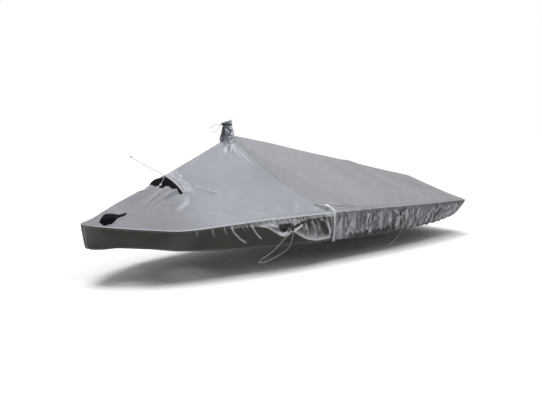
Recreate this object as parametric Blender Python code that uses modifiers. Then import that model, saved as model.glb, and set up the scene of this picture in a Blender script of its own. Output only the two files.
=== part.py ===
"""Mast-up boat cover: a hollow peaked cloth cover with a gathered skirt, mast collar,
bow vent, shroud-slot straps and tie-downs. Bow towards -X, port side -Y, up +Z, metres.
The origin is under the peak, on the mast's axis."""
import math

import bmesh
import bpy
import numpy as np

# ---------------------------------------------------------------- driving dimensions
COVER_LENGTH = 5.50          # bow to transom
MAST_STATION = 1.785         # mast axis, measured aft from the bow
PEAK_HEIGHT = 0.93           # origin above the deck datum
CLOTH = 0.002                # coated polyester, as a sheet
SEAM_GAP = 0.0003            # clearance between neighbouring pieces
CREASE_GAP = 0.0013          # top to skirt, folded at the deck edge
PANEL_GAP = 0.0006           # fore panel to aft panel
CORNER_GAP = 0.0028          # side skirt to transom skirt
TRANSOM_GAP = 0.0009         # top to transom skirt
BOW_GAP = 0.0014             # port skirt to starboard skirt
COLLAR_GAP = 0.0022          # top panels to the collar's foot
STEM_DROP = 0.0042           # the skirt's top lies this much lower under the turned-in stem
SHROUD_STATION = 2.65        # where the shroud slot crosses the deck edge
BOOM_END_STATION = 5.18

COLLAR_BASE_RADIUS = 0.085
COLLAR_BASE_FORE = 0.880     # heights of the collar's foot above the deck datum
COLLAR_BASE_AFT = 0.948
COLLAR_SIDE_DIP = 0.050
NECK_RADIUS = 0.0530
NECK_HEIGHT = 1.076
NECK_HALF = 0.0125           # half height of the plain band under the tie
FRILL_HEIGHT = 1.111
SEAM_TURN = math.radians(118.0)   # from the bow direction round to the panel seam
FAN_START = 1.95             # deck-edge stations between which the panel's rulings fan out
FAN_END = 3.15               # from the collar

VENT_RIM_STATION = 0.940
VENT_LIP_STATION = 0.855
VENT_BACK_STATION = 1.085
VENT_LIP_SAG = 0.062
SEAM_SAG = 0.085             # how far the mast-to-shroud seam hangs below a straight line
VENT_SIDE = 0.37             # share of the ruling from ridge to deck edge
# for each side: how far the lip's end curves aft, how far the end of the hood's rim lies
# forward, and how far the cloth round that end is lifted
VENT_ENDS = {-1: (0.070, -0.018, 0.018), 1: (-0.035, 0.115, 0.085)}
# height of the port lip's waves: (share, height)
VENT_LIP_WAVE = ((0.00, 0.000), (0.05, 0.000), (0.10, 0.006), (0.175, 0.045), (0.215, 0.045),
                 (0.265, 0.026), (0.33, 0.046), (0.362, 0.000), (0.37, 0.000))
HOOD_SAG = 0.018
HOOD_PROUD = 0.016           # how far the hood's rim stands off the panel

STRAP_WIDTH = 0.042
STRAP_THICK = 0.002
STRAP_CLEAR = 0.0023
CORD_DIAMETER = 0.005
LINE_DIAMETER = 0.004
CORD_STEP = 5.0              # spacing of a cord's points, in diameters

# deck edge and hem: a row for each section, from bow to transom
# (station, half breadth, height, hem drop, hem inset)
SECTIONS = (
    (0.000, 0.000, 0.094, 0.245, 0.030),
    (0.020, 0.092, 0.092, 0.243, 0.031),
    (0.082, 0.185, 0.087, 0.234, 0.033),
    (0.220, 0.332, 0.075, 0.203, 0.035),
    (0.440, 0.490, 0.054, 0.196, 0.033),
    (0.770, 0.628, 0.027, 0.212, 0.030),
    (1.210, 0.739, 0.043, 0.258, 0.030),
    (1.760, 0.827, 0.065, 0.297, 0.030),
    (2.475, 0.891, 0.066, 0.322, 0.032),
    (3.300, 0.924, 0.051, 0.337, 0.036),
    (4.125, 0.910, 0.022, 0.312, 0.055),
    (4.840, 0.868, -0.003, 0.300, 0.115),
    (5.500, 0.804, -0.031, 0.262, 0.200),
)

# ridge lines: a row for each bend (station, height)
FORE_RIDGE = ((0.00, 0.094), (0.07, 0.128), (0.25, 0.218), (0.39, 0.285), (0.54, 0.346),
              (0.70, 0.418), (0.94, 0.530), (1.25, 0.670), (1.51, 0.790), (1.70, 0.880))
AFT_RIDGE = ((1.87, 0.948), (2.18, 0.893), (2.44, 0.846), (2.88, 0.754), (3.37, 0.660),
             (3.68, 0.600), (3.87, 0.572), (4.03, 0.528), (4.46, 0.436), (5.18, 0.297))

# tension ridges in the skirt, raised outward:
# (station, drop, end station, end drop, height, half width)
SKIRT_RIDGES = (
    (2.02, 0.115, 2.30, 0.040, 0.014, 0.030),
    (2.00, 0.115, 1.80, 0.050, 0.012, 0.030),
    (1.10, 0.010, 1.20, 0.160, 0.007, 0.035),
    (1.30, 0.010, 1.47, 0.220, 0.010, 0.035),
    (1.50, 0.030, 1.67, 0.205, 0.010, 0.035),
    (3.84, 0.085, 3.64, 0.010, 0.014, 0.035),
    (3.84, 0.085, 3.68, 0.240, 0.016, 0.035),
    (3.84, 0.085, 3.98, 0.010, 0.014, 0.035),
)

# swag hung from the first tie-down: (station, drop of its fold, how far it stands out)
SWAG = ((1.52, 0.030, 0.000), (1.70, 0.080, 0.018), (1.80, 0.140, 0.036),
        (1.90, 0.190, 0.046), (1.96, 0.185, 0.046), (2.01, 0.150, 0.048),
        (2.12, 0.205, 0.052), (2.24, 0.262, 0.054), (2.42, 0.292, 0.046),
        (2.53, 0.292, 0.034), (2.65, 0.287, 0.000))

# bow opening in the port fore panel: (ridge station, upper share, lower share)
BOW_OPENING = ((0.115, 0.46, 0.84), (0.165, 0.22, 0.80), (0.215, 0.13, 0.64),
               (0.265, 0.22, 0.51), (0.315, 0.345, 0.475), (0.370, 0.345, 0.420))
BOW_UPPER_ROW = 2            # the panel's rows that follow the opening's two edges
BOW_LOWER_ROW = 5
BOW_LIP_RISE = 0.012

# gathers of the aft skirt: (pitch of one gather, its height) from the slot to the transom
GATHERS = ((0.17, 0.012), (0.21, 0.016), (0.15, 0.011), (0.19, 0.018), (0.16, 0.013),
           (0.20, 0.016), (0.17, 0.011), (0.14, 0.013), (0.19, 0.017), (0.15, 0.013),
           (0.18, 0.016), (0.14, 0.012), (0.17, 0.016), (0.15, 0.013), (0.16, 0.015),
           (0.14, 0.012), (0.17, 0.012), (0.16, 0.008))

# shroud strap's middle line: (share of the top panel or of the skirt's drop, station)
STRAP_TOP_ROWS = ((0.875, 2.600), (0.915, 2.618), (0.95, 2.636), (0.98, 2.648))
STRAP_SKIRT_ROWS = ((0.08, 2.655), (0.25, 2.663), (0.45, 2.668), (0.65, 2.668), (0.83, 2.666),
                    (0.95, 2.664), (1.06, 2.668))

# tie-downs: (station, drop of the tab's middle)
TIE_DOWNS = ((2.01, 0.115), (3.84, 0.085))
TAB_WIDTH = 0.030
TAB_HEIGHT = 0.062
TAB_THICK = 0.003
TAB_CLEAR = 0.0010
KNOT_RADIUS = 0.011
END_RADIUS = 0.009
COLLAR_KNOT_RADIUS = 0.010
VENT_KNOT_RADIUS = 0.012

# cord routes, chosen by hand: (station, distance from the centre line, height), port side
FIRST_TIE_END = (1.583, 0.835, -0.372)
FIRST_TIE_ROUTES = (
    ((1.962, 0.900, -0.088), (1.87, 0.893, -0.166), (1.77, 0.880, -0.248),
     (1.68, 0.860, -0.308), (1.612, 0.842, -0.345)),
    ((1.996, 0.910, -0.115), (1.982, 0.902, -0.190), (1.955, 0.885, -0.262),
     (1.875, 0.870, -0.312), (1.75, 0.855, -0.356), (1.630, 0.840, -0.384)),
)
SECOND_TIE_END = (3.66, 0.860, -0.468)
SECOND_TIE_ROUTE = ((3.848, 0.952, -0.150), (3.852, 0.945, -0.225), (3.840, 0.925, -0.315),
                    (3.765, 0.895, -0.405), (3.690, 0.870, -0.455))
SECOND_TIE_TAIL = ((3.875, 0.962, -0.062), (3.925, 0.965, -0.052), (3.965, 0.962, -0.085),
                   (3.995, 0.958, -0.150))
COLLAR_END_ROUTES = (
    ((1.708, 0.063, 1.066), (1.692, 0.080, 1.080), (1.667, 0.101, 1.062),
     (1.627, 0.135, 1.031)),
    ((1.722, 0.064, 1.046), (1.706, 0.078, 1.018), (1.676, 0.098, 0.990),
     (1.640, 0.124, 0.994)),
)
LIFT_LINE_END = (0.550, 0.0, 0.748)
VENT_TOGGLE = (0.886, -0.012, 0.437)
VENT_TAIL = ((0.861, -0.0200, 0.4228), (0.850, -0.0245, 0.4165), (0.836, -0.0310, 0.4082),
             (0.822, -0.0380, 0.3997))

SIDES = (("port", -1), ("starboard", 1))

COLOURS = {
    "cloth": ((0.36, 0.37, 0.40), 0.55, 0.0),
    "skirt": ((0.27, 0.28, 0.29), 0.60, 0.0),
    "collar": ((0.30, 0.31, 0.34), 0.60, 0.0),
    "hood": ((0.42, 0.43, 0.45), 0.55, 0.0),
    "strap": ((0.80, 0.82, 0.86), 0.55, 0.0),
    "webbing": ((0.03, 0.03, 0.035), 0.75, 0.0),
    "cord": ((0.70, 0.70, 0.66), 0.70, 0.0),
}


# ---------------------------------------------------------------- small mathematics
def smooth(x, xs, ys):
    """Cubic curve through the table, with no overshoot between its rows."""
    xs, ys = np.asarray(xs, float), np.asarray(ys, float)
    step = np.diff(xs)
    slope = np.diff(ys) / step
    tangent = np.zeros(len(xs))
    for i in range(1, len(xs) - 1):
        if slope[i - 1] * slope[i] > 0:
            w1 = 2 * step[i] + step[i - 1]
            w2 = step[i] + 2 * step[i - 1]
            tangent[i] = (w1 + w2) / (w1 / slope[i - 1] + w2 / slope[i])
    tangent[0], tangent[-1] = slope[0], slope[-1]
    x = min(max(x, xs[0]), xs[-1])
    i = min(int(np.searchsorted(xs, x, side="right")) - 1, len(xs) - 2)
    t = (x - xs[i]) / step[i]
    h00, h10 = (1 + 2 * t) * (1 - t) ** 2, t * (1 - t) ** 2
    h01, h11 = t * t * (3 - 2 * t), t * t * (t - 1)
    return (h00 * ys[i] + h10 * step[i] * tangent[i]
            + h01 * ys[i + 1] + h11 * step[i] * tangent[i + 1])


def ease(x, low, high):
    """0 below low, 1 above high, smooth between."""
    t = min(max((x - low) / (high - low), 0.0), 1.0)
    return t * t * (3 - 2 * t)


def column(table, index):
    return [row[index] for row in table]


def place(station, across, height):
    """Boat measures to the part's frame."""
    return np.array([station - MAST_STATION, across, height - PEAK_HEIGHT])


# ---------------------------------------------------------------- edge, ridge and collar
def section(station, index):
    return smooth(station, column(SECTIONS, 0), column(SECTIONS, index))


def edge_smooth(side, station):
    return place(station, side * section(station, 1), section(station, 2))


# panel columns: where each starts on the ridge, then the fans round the collar
RIDGE_COLUMNS = (0.0, 0.006, 0.017, 0.039, 0.072, 0.115, 0.165, 0.215, 0.265, 0.315, 0.37,
                 0.45, 0.53, 0.62, 0.70, 0.79, VENT_LIP_STATION, 0.975, VENT_BACK_STATION,
                 1.19, 1.29, 1.39, 1.49, 1.60, 1.70)
EDGE_PER_RIDGE = FAN_START / RIDGE_COLUMNS[-1]
FORE_EDGE_STATIONS = ([value * EDGE_PER_RIDGE for value in RIDGE_COLUMNS]
                      + list(np.linspace(FAN_START, SHROUD_STATION, 15)[1:]))
AFT_EDGE_STATIONS = list(np.linspace(SHROUD_STATION, FAN_END, 9)) + list(
    np.linspace(FAN_END, COVER_LENGTH, 22)[1:])
EDGE_STATIONS = FORE_EDGE_STATIONS + AFT_EDGE_STATIONS[1:]
AFT_SKIRT_STATIONS = [SHROUD_STATION + 0.045 * i
                      for i in range(int((COVER_LENGTH - SHROUD_STATION) / 0.045))] + [COVER_LENGTH]


def edge(side, station):
    """Deck edge as the straight runs that the top and the skirt share."""
    stations = EDGE_STATIONS
    i = min(int(np.searchsorted(stations, station, side="right")) - 1, len(stations) - 2)
    share = (station - stations[i]) / (stations[i + 1] - stations[i])
    start, end = edge_smooth(side, stations[i]), edge_smooth(side, stations[i + 1])
    return start + (end - start) * share


def outward(side, station):
    """Level direction that points out of the hull at a deck-edge station."""
    low, high = max(station - 0.03, 0.0), min(station + 0.03, COVER_LENGTH)
    if station < 0.03:
        low, high = station, station + 0.02
    run = edge_smooth(side, high) - edge_smooth(side, low)
    normal = np.array([-abs(run[1]) if station < 0.5 * COVER_LENGTH else abs(run[1]),
                       side * abs(run[0]), 0.0])
    if station < 1e-6:
        normal = np.array([-1.0, 0.0, 0.0])
    return normal / np.linalg.norm(normal)


def fore_ridge(station):
    return place(station, 0.0, smooth(station, *zip(*FORE_RIDGE)))


def aft_ridge(station):
    return place(station, 0.0, smooth(station, *zip(*AFT_RIDGE)))


def collar_foot(side, turn):
    """Foot of the mast collar; turn runs from 0 at the bow side to pi at the stern side."""
    rise = (COLLAR_BASE_AFT - COLLAR_BASE_FORE) * (1 - math.cos(turn)) / 2
    height = COLLAR_BASE_FORE + rise - COLLAR_SIDE_DIP * math.sin(turn) ** 2
    return place(MAST_STATION - COLLAR_BASE_RADIUS * math.cos(turn),
                 side * COLLAR_BASE_RADIUS * math.sin(turn), height)


# ---------------------------------------------------------------- top panels
TOP_ROWS = (0.0, 0.08, 0.20, 0.37, 0.52, 0.67, 0.82, 0.94, 1.0)


def top_point(side, inner, outer, share, sag, pleat):
    """A point on the line from the ridge or collar (inner) to the deck edge (outer)."""
    point = inner + (outer - inner) * share
    length = np.linalg.norm(outer - inner)
    point = point + np.array([0, 0, -sag * math.sin(math.pi * share) ** 1.3])
    roll = 0.010 * math.exp(-((share - 0.95) / 0.035) ** 2) * ease(length, 0.10, 0.45)
    point = point + np.array([0, side * 0.6 * roll, roll])
    fade = math.exp(-share * length / 0.16) * (1 - math.exp(-share * length / 0.015))
    return point + np.array([0, side * 0.5 * pleat * fade, pleat * fade])


def fore_columns():
    """(inner station or collar turn, edge station, on the collar) for the fore panels."""
    columns = []
    for station in FORE_EDGE_STATIONS:
        if station <= FAN_START + 1e-9:
            columns.append(("ridge", station / EDGE_PER_RIDGE, station))
        else:
            share = (station - FAN_START) / (SHROUD_STATION - FAN_START)
            columns.append(("collar", SEAM_TURN * share, station))
    return columns


def lip_sag(station, share):
    """The cloth ahead of the vent hangs below the ridge line."""
    if share >= VENT_SIDE or station > VENT_LIP_STATION + 0.05:
        return 0.0
    across = math.cos(math.pi * share / (2 * VENT_SIDE)) ** 2
    along = ease(station, 0.60, VENT_LIP_STATION)
    return VENT_LIP_SAG * across * along


def lip_wave(side, station, share):
    """The port lip is uneven, and its waves die out ahead of it."""
    if side > 0 or share >= VENT_SIDE or station > VENT_LIP_STATION + 0.05:
        return 0.0
    ahead = max(VENT_LIP_STATION - station, 0.0)
    return smooth(share, *zip(*VENT_LIP_WAVE)) * math.exp(-(ahead / 0.10) ** 1.5)


def lip_bow(side, station, share):
    """How far aft the lip is curved, most at its two ends."""
    if abs(station - VENT_LIP_STATION) > 1e-6:
        return 0.0
    curve = VENT_ENDS[side][0]
    if share <= VENT_SIDE:
        return curve * (share / VENT_SIDE) ** 2
    return curve * (1 - share) / (1 - VENT_SIDE)


def vent_lift(side, station, share):
    """The cloth round the vent's starboard end stands higher than the ruled panel."""
    across = ease(share, 0.0, 0.30) * (1 - ease(share, VENT_SIDE, 0.67))
    along = ease(station, 0.62, 0.83) * (1 - ease(station, 0.95, 1.12))
    return VENT_ENDS[side][2] * across * along


def fore_point(side, kind, inner_value, edge_station, share):
    bow = lip_bow(side, inner_value, share) if kind == "ridge" else 0.0
    outer = edge(side, edge_station + bow * EDGE_PER_RIDGE)
    if kind == "ridge":
        inner = fore_ridge(inner_value + bow)
        sag = 0.018 * ease(inner_value, 0.1, 0.7) + 0.012 * ease(inner_value, 1.2, 1.7)
        pleat = 0.0
    else:
        inner = collar_foot(side, inner_value)
        turned = inner_value / SEAM_TURN
        sag = 0.030 + (SEAM_SAG - 0.030) * turned ** 1.5
        pleat = 0.011 * math.sin(turned * 5 * math.pi)
    point = top_point(side, inner, outer, share, sag, pleat)
    if kind == "ridge":
        rise = vent_lift(side, inner_value + bow, share) + lip_wave(side, inner_value, share)
        point = point + np.array([0, 0, rise - lip_sag(inner_value, share)])
    return point


def bow_share(station, row):
    """Share of a port row where the panel's rows part round the bow opening."""
    share = TOP_ROWS[row]
    stations = column(BOW_OPENING, 0)
    fade = ease(station, 0.03, stations[0]) * (1 - ease(station, stations[-1], 0.62))
    if fade == 0.0:
        return share
    upper = float(np.interp(station, stations, column(BOW_OPENING, 1)))
    lower = float(np.interp(station, stations, column(BOW_OPENING, 2)))
    plain_upper, plain_lower = TOP_ROWS[BOW_UPPER_ROW], TOP_ROWS[BOW_LOWER_ROW]
    parted = float(np.interp(share, (0, plain_upper, plain_lower, 1), (0, upper, lower, 1)))
    return share + (parted - share) * fade


def aft_columns():
    """(kind, inner value, edge value) from the panel seam to the middle of the transom."""
    columns = []
    for station in AFT_EDGE_STATIONS:
        if station <= FAN_END + 1e-9:
            share = (station - SHROUD_STATION) / (FAN_END - SHROUD_STATION)
            columns.append(("collar", SEAM_TURN + (math.pi - SEAM_TURN) * share, station))
        else:
            share = (station - FAN_END) / (COVER_LENGTH - FAN_END)
            ridge_station = 1.87 + (BOOM_END_STATION - 1.87) * share
            columns.append(("ridge", ridge_station, station))
    for step in range(1, 8):
        columns.append(("end", BOOM_END_STATION, 1 - step / 7))
    return columns


def transom_edge(side, across):
    """Top edge of the transom; across runs from 0 in the middle to 1 at the corner."""
    corner = edge(side, COVER_LENGTH)
    crown = 0.020 * math.cos(math.pi * across / 2)
    return np.array([corner[0] + crown, corner[1] * across, corner[2] + crown])


def aft_point(side, kind, inner_value, edge_value, share):
    if kind == "end":
        return top_point(side, aft_ridge(BOOM_END_STATION), transom_edge(side, edge_value),
                         share, 0.008, 0.0)
    outer = edge(side, edge_value)
    if kind == "collar":
        inner = collar_foot(side, inner_value)
        turned = (inner_value - SEAM_TURN) / (math.pi - SEAM_TURN)
        sag = SEAM_SAG + (0.045 - SEAM_SAG) * turned
        return top_point(side, inner, outer, share, sag, 0.008 * math.sin(turned * 3 * math.pi))
    sag = 0.045 - 0.010 * ease(inner_value, 2.0, 3.5) - 0.022 * ease(inner_value, 4.3, 5.18)
    return top_point(side, aft_ridge(inner_value), outer, share, sag, 0.0)


# ---------------------------------------------------------------- skirt
SKIRT_ROWS = (0.0, 0.16, 0.36, 0.58, 0.80, 1.0)


def skirt_ridges(station, drop):
    """Outward swelling where the cloth is pulled towards the tie-downs."""
    total = 0.0
    for s0, d0, s1, d1, height, half_width in SKIRT_RIDGES:
        run = np.array([s1 - s0, d1 - d0])
        away = np.array([station - s0, drop - d0])
        along = min(max(float(away @ run) / float(run @ run), 0.0), 1.0)
        off = np.linalg.norm(away - run * along)
        total = max(total, height * (1 - 0.6 * along) * math.exp(-(off / half_width) ** 2))
    return total


def swag(station, drop):
    """The cloth stands out down to the fold that hangs from the tie-down, then falls back."""
    if not SWAG[0][0] < station < SWAG[-1][0]:
        return 0.0
    fold = smooth(station, column(SWAG, 0), column(SWAG, 1))
    reach = smooth(station, column(SWAG, 0), column(SWAG, 2))
    if drop <= fold:
        return reach * drop / fold
    return reach * math.exp(-((drop - fold) / 0.045) ** 2)


def gathers(station, share):
    """Uneven gathers behind the shroud slot, leaning forward and down near the stern."""
    lean = 0.26 * share * ease(station, 3.7, 5.2)
    place_in_run = station + lean - SHROUD_STATION
    start = 0.0
    wave = 0.0
    for pitch, height in GATHERS:
        if start <= place_in_run < start + pitch:
            phase = (place_in_run - start) / pitch
            wave = height * math.sin(math.pi * phase) ** 1.5
        start += pitch
    ends = ease(station, SHROUD_STATION, 2.75) * (1 - ease(station, 5.40, COVER_LENGTH))
    return wave * ends * (0.25 + 0.75 * math.sin(math.pi * min(share * 0.62, 0.5))) * ease(
        share, 0.0, 0.22)


def skirt_point(side, station, share):
    """share runs from 0 at the deck edge to 1 at the hem."""
    drop = section(station, 3) * share
    inset = section(station, 4) * share ** 1.25
    tuck = 0.018 * ease(share, 0.82, 1.0) * ease(station, 2.65, 3.1)
    slot = 1 - math.exp(-((station - SHROUD_STATION) / 0.06) ** 2)
    body = ease(share, 0.0, 0.2)
    swell = slot * (body * (skirt_ridges(station, drop) + gathers(station, share))
                    + swag(station, drop))
    swell = swell + 0.004 * math.sin(7.0 * station + 1.0) * share * slot * ease(station, 0.0, 0.3)
    hem = 0.006 * math.sin(31.0 * station) * slot * ease(station, 2.8, 3.2) * ease(share, 0.8, 1.0)
    hem = hem * (1 - ease(station, 5.3, COVER_LENGTH))
    point = edge(side, station) + outward(side, station) * (swell - inset - tuck)
    return point + np.array([0, 0, -drop + hem])


def skirt_facet(side, station, share):
    """The skirt as its flat facets have it, between the sheet's own columns and rows."""
    columns = FORE_EDGE_STATIONS if station <= SHROUD_STATION else AFT_SKIRT_STATIONS
    i = min(int(np.searchsorted(columns, station, side="right")) - 1, len(columns) - 2)
    j = min(int(np.searchsorted(SKIRT_ROWS, share, side="right")) - 1, len(SKIRT_ROWS) - 2)
    u = (station - columns[i]) / (columns[i + 1] - columns[i])
    v = (share - SKIRT_ROWS[j]) / (SKIRT_ROWS[j + 1] - SKIRT_ROWS[j])
    upper = (skirt_point(side, columns[i], SKIRT_ROWS[j]) * (1 - u)
             + skirt_point(side, columns[i + 1], SKIRT_ROWS[j]) * u)
    lower = (skirt_point(side, columns[i], SKIRT_ROWS[j + 1]) * (1 - u)
             + skirt_point(side, columns[i + 1], SKIRT_ROWS[j + 1]) * u)
    return upper * (1 - v) + lower * v


def transom_point(across, share):
    """Skirt across the transom; across runs from -1 at port to 1 at starboard."""
    side = -1 if across < 0 else 1
    corner = skirt_point(side, COVER_LENGTH, share)
    middle = math.cos(math.pi * across / 2)
    swell = 0.010 * math.sin(7 * math.pi * across + 0.7) * math.sin(math.pi * share * 0.6) * middle
    top = transom_edge(side, abs(across))
    dip = 0.045 * middle * share
    return np.array([corner[0] + 0.020 * middle + swell - 0.03 * middle * share ** 2,
                     corner[1] * abs(across),
                     corner[2] + (top[2] - edge(side, COVER_LENGTH)[2]) - dip])


# ---------------------------------------------------------------- making objects
def clear_scene():
    for item in list(bpy.data.objects):
        bpy.data.objects.remove(item, do_unlink=True)
    for item in list(bpy.data.collections):
        bpy.data.collections.remove(item)


def material(kind):
    name = "boat_cover_" + kind
    found = bpy.data.materials.get(name)
    if found:
        return found
    colour, roughness, metallic = COLOURS[kind]
    made = bpy.data.materials.new(name)
    made.use_nodes = True
    shader = made.node_tree.nodes["Principled BSDF"]
    shader.inputs["Base Color"].default_value = (*colour, 1.0)
    shader.inputs["Roughness"].default_value = roughness
    shader.inputs["Metallic"].default_value = metallic
    return made


def add_object(name, mesh, kind):
    mesh.materials.append(material(kind))
    made = bpy.data.objects.new(name, mesh)
    bpy.data.collections["boat_cover"].objects.link(made)
    return made


def drawn_in(grid, gaps):
    """Move a grid's border inward by gaps (first column, last column, first row, last row)."""
    grid = [[np.array(p) for p in line] for line in grid]

    def step(point, target, distance):
        run = target - point
        length = np.linalg.norm(run)
        return point + run * (distance / length) if length > 1e-9 else point

    rows = len(grid[0])
    if gaps[0]:
        grid[0] = [step(grid[0][j], grid[1][j], gaps[0]) for j in range(rows)]
    if gaps[1]:
        grid[-1] = [step(grid[-1][j], grid[-2][j], gaps[1]) for j in range(rows)]
    for line in grid:
        if gaps[2]:
            line[0] = step(line[0], line[1], gaps[2])
        if gaps[3]:
            line[-1] = step(line[-1], line[-2], gaps[3])
    return grid


def sheet(name, grids, kind, thickness=CLOTH):
    """One sheet of cloth from grids of columns, each with its facing (+1 or -1) and holes."""
    mesh = bpy.data.meshes.new(name)
    bm = bmesh.new()
    for grid, facing, holes in grids:
        verts = [[bm.verts.new(p) for p in line] for line in grid]
        for i in range(len(grid) - 1):
            for j in range(len(grid[0]) - 1):
                if (i, j) in holes:
                    continue
                ring = [verts[i][j], verts[i + 1][j], verts[i + 1][j + 1], verts[i][j + 1]]
                kept = []
                for vert in ring:
                    if all((vert.co - other.co).length > 1e-6 for other in kept):
                        kept.append(vert)
                if len(kept) >= 3:
                    bm.faces.new(kept if facing > 0 else kept[::-1])
    loose = [vert for vert in bm.verts if not vert.link_faces]
    bmesh.ops.delete(bm, geom=loose, context="VERTS")
    bmesh.ops.remove_doubles(bm, verts=bm.verts, dist=1e-5)
    bm.to_mesh(mesh)
    bm.free()
    made = add_object(name, mesh, kind)
    mesh.shade_smooth()
    solid = made.modifiers.new("thickness", "SOLIDIFY")
    solid.thickness = thickness
    solid.offset = -1.0
    solid.use_even_offset = True
    solid.use_rim = True
    return made


def smooth_route(points, count):
    """Evenly spaced points of a smooth curve through the route's own points."""
    points = [np.array(p, float) for p in points]
    padded = [2 * points[0] - points[1]] + points + [2 * points[-1] - points[-2]]
    fine = []
    for i in range(1, len(padded) - 2):
        p0, p1, p2, p3 = padded[i - 1:i + 3]
        for t in np.linspace(0, 1, 16, endpoint=False):
            fine.append(0.5 * (2 * p1 + (p2 - p0) * t + (2 * p0 - 5 * p1 + 4 * p2 - p3) * t ** 2
                               + (3 * p1 - p0 - 3 * p2 + p3) * t ** 3))
    fine.append(points[-1])
    fine = np.array(fine)
    reach = np.concatenate([[0], np.cumsum(np.linalg.norm(np.diff(fine, axis=0), axis=1))])
    marks = np.linspace(0, reach[-1], count)
    return [np.array([np.interp(m, reach, fine[:, k]) for k in range(3)]) for m in marks]


def cord(name, points, diameter):
    length = sum(np.linalg.norm(np.subtract(b, a)) for a, b in zip(points, points[1:]))
    count = max(4, min(80, int(length / (CORD_STEP * diameter)) + 1))
    curve = bpy.data.curves.new(name, "CURVE")
    curve.dimensions = "3D"
    spline = curve.splines.new("POLY")
    route = smooth_route(points, count)
    spline.points.add(len(route) - 1)
    for target, point in zip(spline.points, route):
        target.co = (*point, 1.0)
    curve.bevel_depth = diameter / 2
    curve.bevel_resolution = 2
    curve.use_fill_caps = True
    curve.materials.append(material("cord"))
    made = bpy.data.objects.new(name, curve)
    bpy.data.collections["boat_cover"].objects.link(made)
    return made


def ribbon(name, centres, normals, acrosses, width, kind, thickness, gap):
    """A strap that lies on a surface, a gap above it."""
    grid = []
    for centre, normal, across in zip(centres, normals, acrosses):
        lift = centre + normal * (gap + thickness)
        grid.append([lift - across * width / 2, lift + across * width / 2])
    normal = np.cross(grid[1][0] - grid[0][0], grid[0][1] - grid[0][0])
    facing = 1 if float(normal @ normals[0]) > 0 else -1
    return sheet(name, [(grid, facing, ())], kind, thickness)


# ---------------------------------------------------------------- the cloth
def vent_columns():
    """Numbers of the fore panel's columns at the vent's lip and at the hood's back."""
    inner = [value for kind, value, _ in fore_columns() if kind == "ridge"]
    lip = int(np.argmin(np.abs(np.array(inner) - VENT_LIP_STATION)))
    back = int(np.argmin(np.abs(np.array(inner) - VENT_BACK_STATION)))
    return lip, back


def off_collar(grid, columns):
    """Keep a panel's edge clear of the collar's foot."""
    for line, (kind, _, _) in zip(grid, columns):
        if kind == "collar":
            run = line[1] - line[0]
            line[0] = line[0] + run * (COLLAR_GAP / np.linalg.norm(run))
    return grid


def make_fore_top():
    lip, back = vent_columns()
    columns = fore_columns()
    vent = {(i, j) for i in range(lip, back) for j in range(TOP_ROWS.index(VENT_SIDE))}
    first = RIDGE_COLUMNS.index(BOW_OPENING[0][0])
    last = RIDGE_COLUMNS.index(BOW_OPENING[-1][0])
    bow = {(i, j) for i in range(first, last) for j in range(BOW_UPPER_ROW, BOW_LOWER_ROW)}
    grids = []
    for _, side in SIDES:
        grid = []
        for kind, value, station in columns:
            line = []
            for row, share in enumerate(TOP_ROWS):
                if side < 0 and kind == "ridge":
                    share = bow_share(value, row)
                point = fore_point(side, kind, value, station, share)
                on_lip = side < 0 and row == BOW_LOWER_ROW and kind == "ridge"
                if on_lip and BOW_OPENING[0][0] < value <= BOW_OPENING[-1][0]:
                    point = point + np.array([0, 0, BOW_LIP_RISE])
                line.append(point)
            grid.append(line)
        grid = drawn_in(grid, (0, PANEL_GAP, 0, CREASE_GAP))
        holes = vent | bow if side < 0 else vent
        grids.append((off_collar(grid, columns), side, holes))
    return sheet("top_fore", grids, "cloth")


def make_aft_top():
    grids = []
    for _, side in SIDES:
        grid = [[aft_point(side, kind, value, station, share) for share in TOP_ROWS]
                for kind, value, station in aft_columns()]
        grid = drawn_in(grid, (PANEL_GAP, 0, 0, CREASE_GAP))
        grids.append((off_collar(grid, aft_columns()), side, ()))
    return sheet("top_aft", grids, "cloth")


def make_skirts():
    fore, aft = FORE_EDGE_STATIONS, AFT_SKIRT_STATIONS
    for word, side in SIDES:
        grid = [[skirt_point(side, s, v) for v in SKIRT_ROWS] for s in fore]
        grid = drawn_in(grid, (BOW_GAP, SEAM_GAP, CREASE_GAP, 0))
        for line, station in zip(grid, fore):
            line[0][2] -= STEM_DROP * (1 - ease(station, 0.06, 0.14))
        sheet("skirt_fore_" + word, [(grid, side, ())], "skirt")
        grid = [[skirt_point(side, s, v) for v in SKIRT_ROWS] for s in aft]
        grid = drawn_in(grid, (SEAM_GAP, CORNER_GAP, CREASE_GAP, 0))
        sheet("skirt_aft_" + word, [(grid, side, ())], "skirt")
    across = np.linspace(-1, 1, 19)
    grid = [[transom_point(w, v) for v in SKIRT_ROWS] for w in across]
    grid = drawn_in(grid, (CORNER_GAP, CORNER_GAP, TRANSOM_GAP, 0))
    sheet("skirt_transom", [(grid, -1, ())], "skirt")


# mast collar: (share of the way up, radius, depth of its pleats); 0 to 1 runs from the foot
# to the tied band, 2 to 3 from the band to the frill's top
COLLAR_ROWS = ((0.00, COLLAR_BASE_RADIUS, 0.000), (0.14, 0.082, 0.006), (0.34, 0.077, 0.010),
               (0.56, 0.069, 0.010), (0.76, 0.062, 0.008), (0.91, 0.0560, 0.004),
               (1.00, NECK_RADIUS, 0.0), (2.00, NECK_RADIUS, 0.0), (2.40, 0.0565, 0.003),
               (3.00, 0.0620, 0.007))
COLLAR_SIDES = 28
COLLAR_PLEATS = 7


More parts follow.
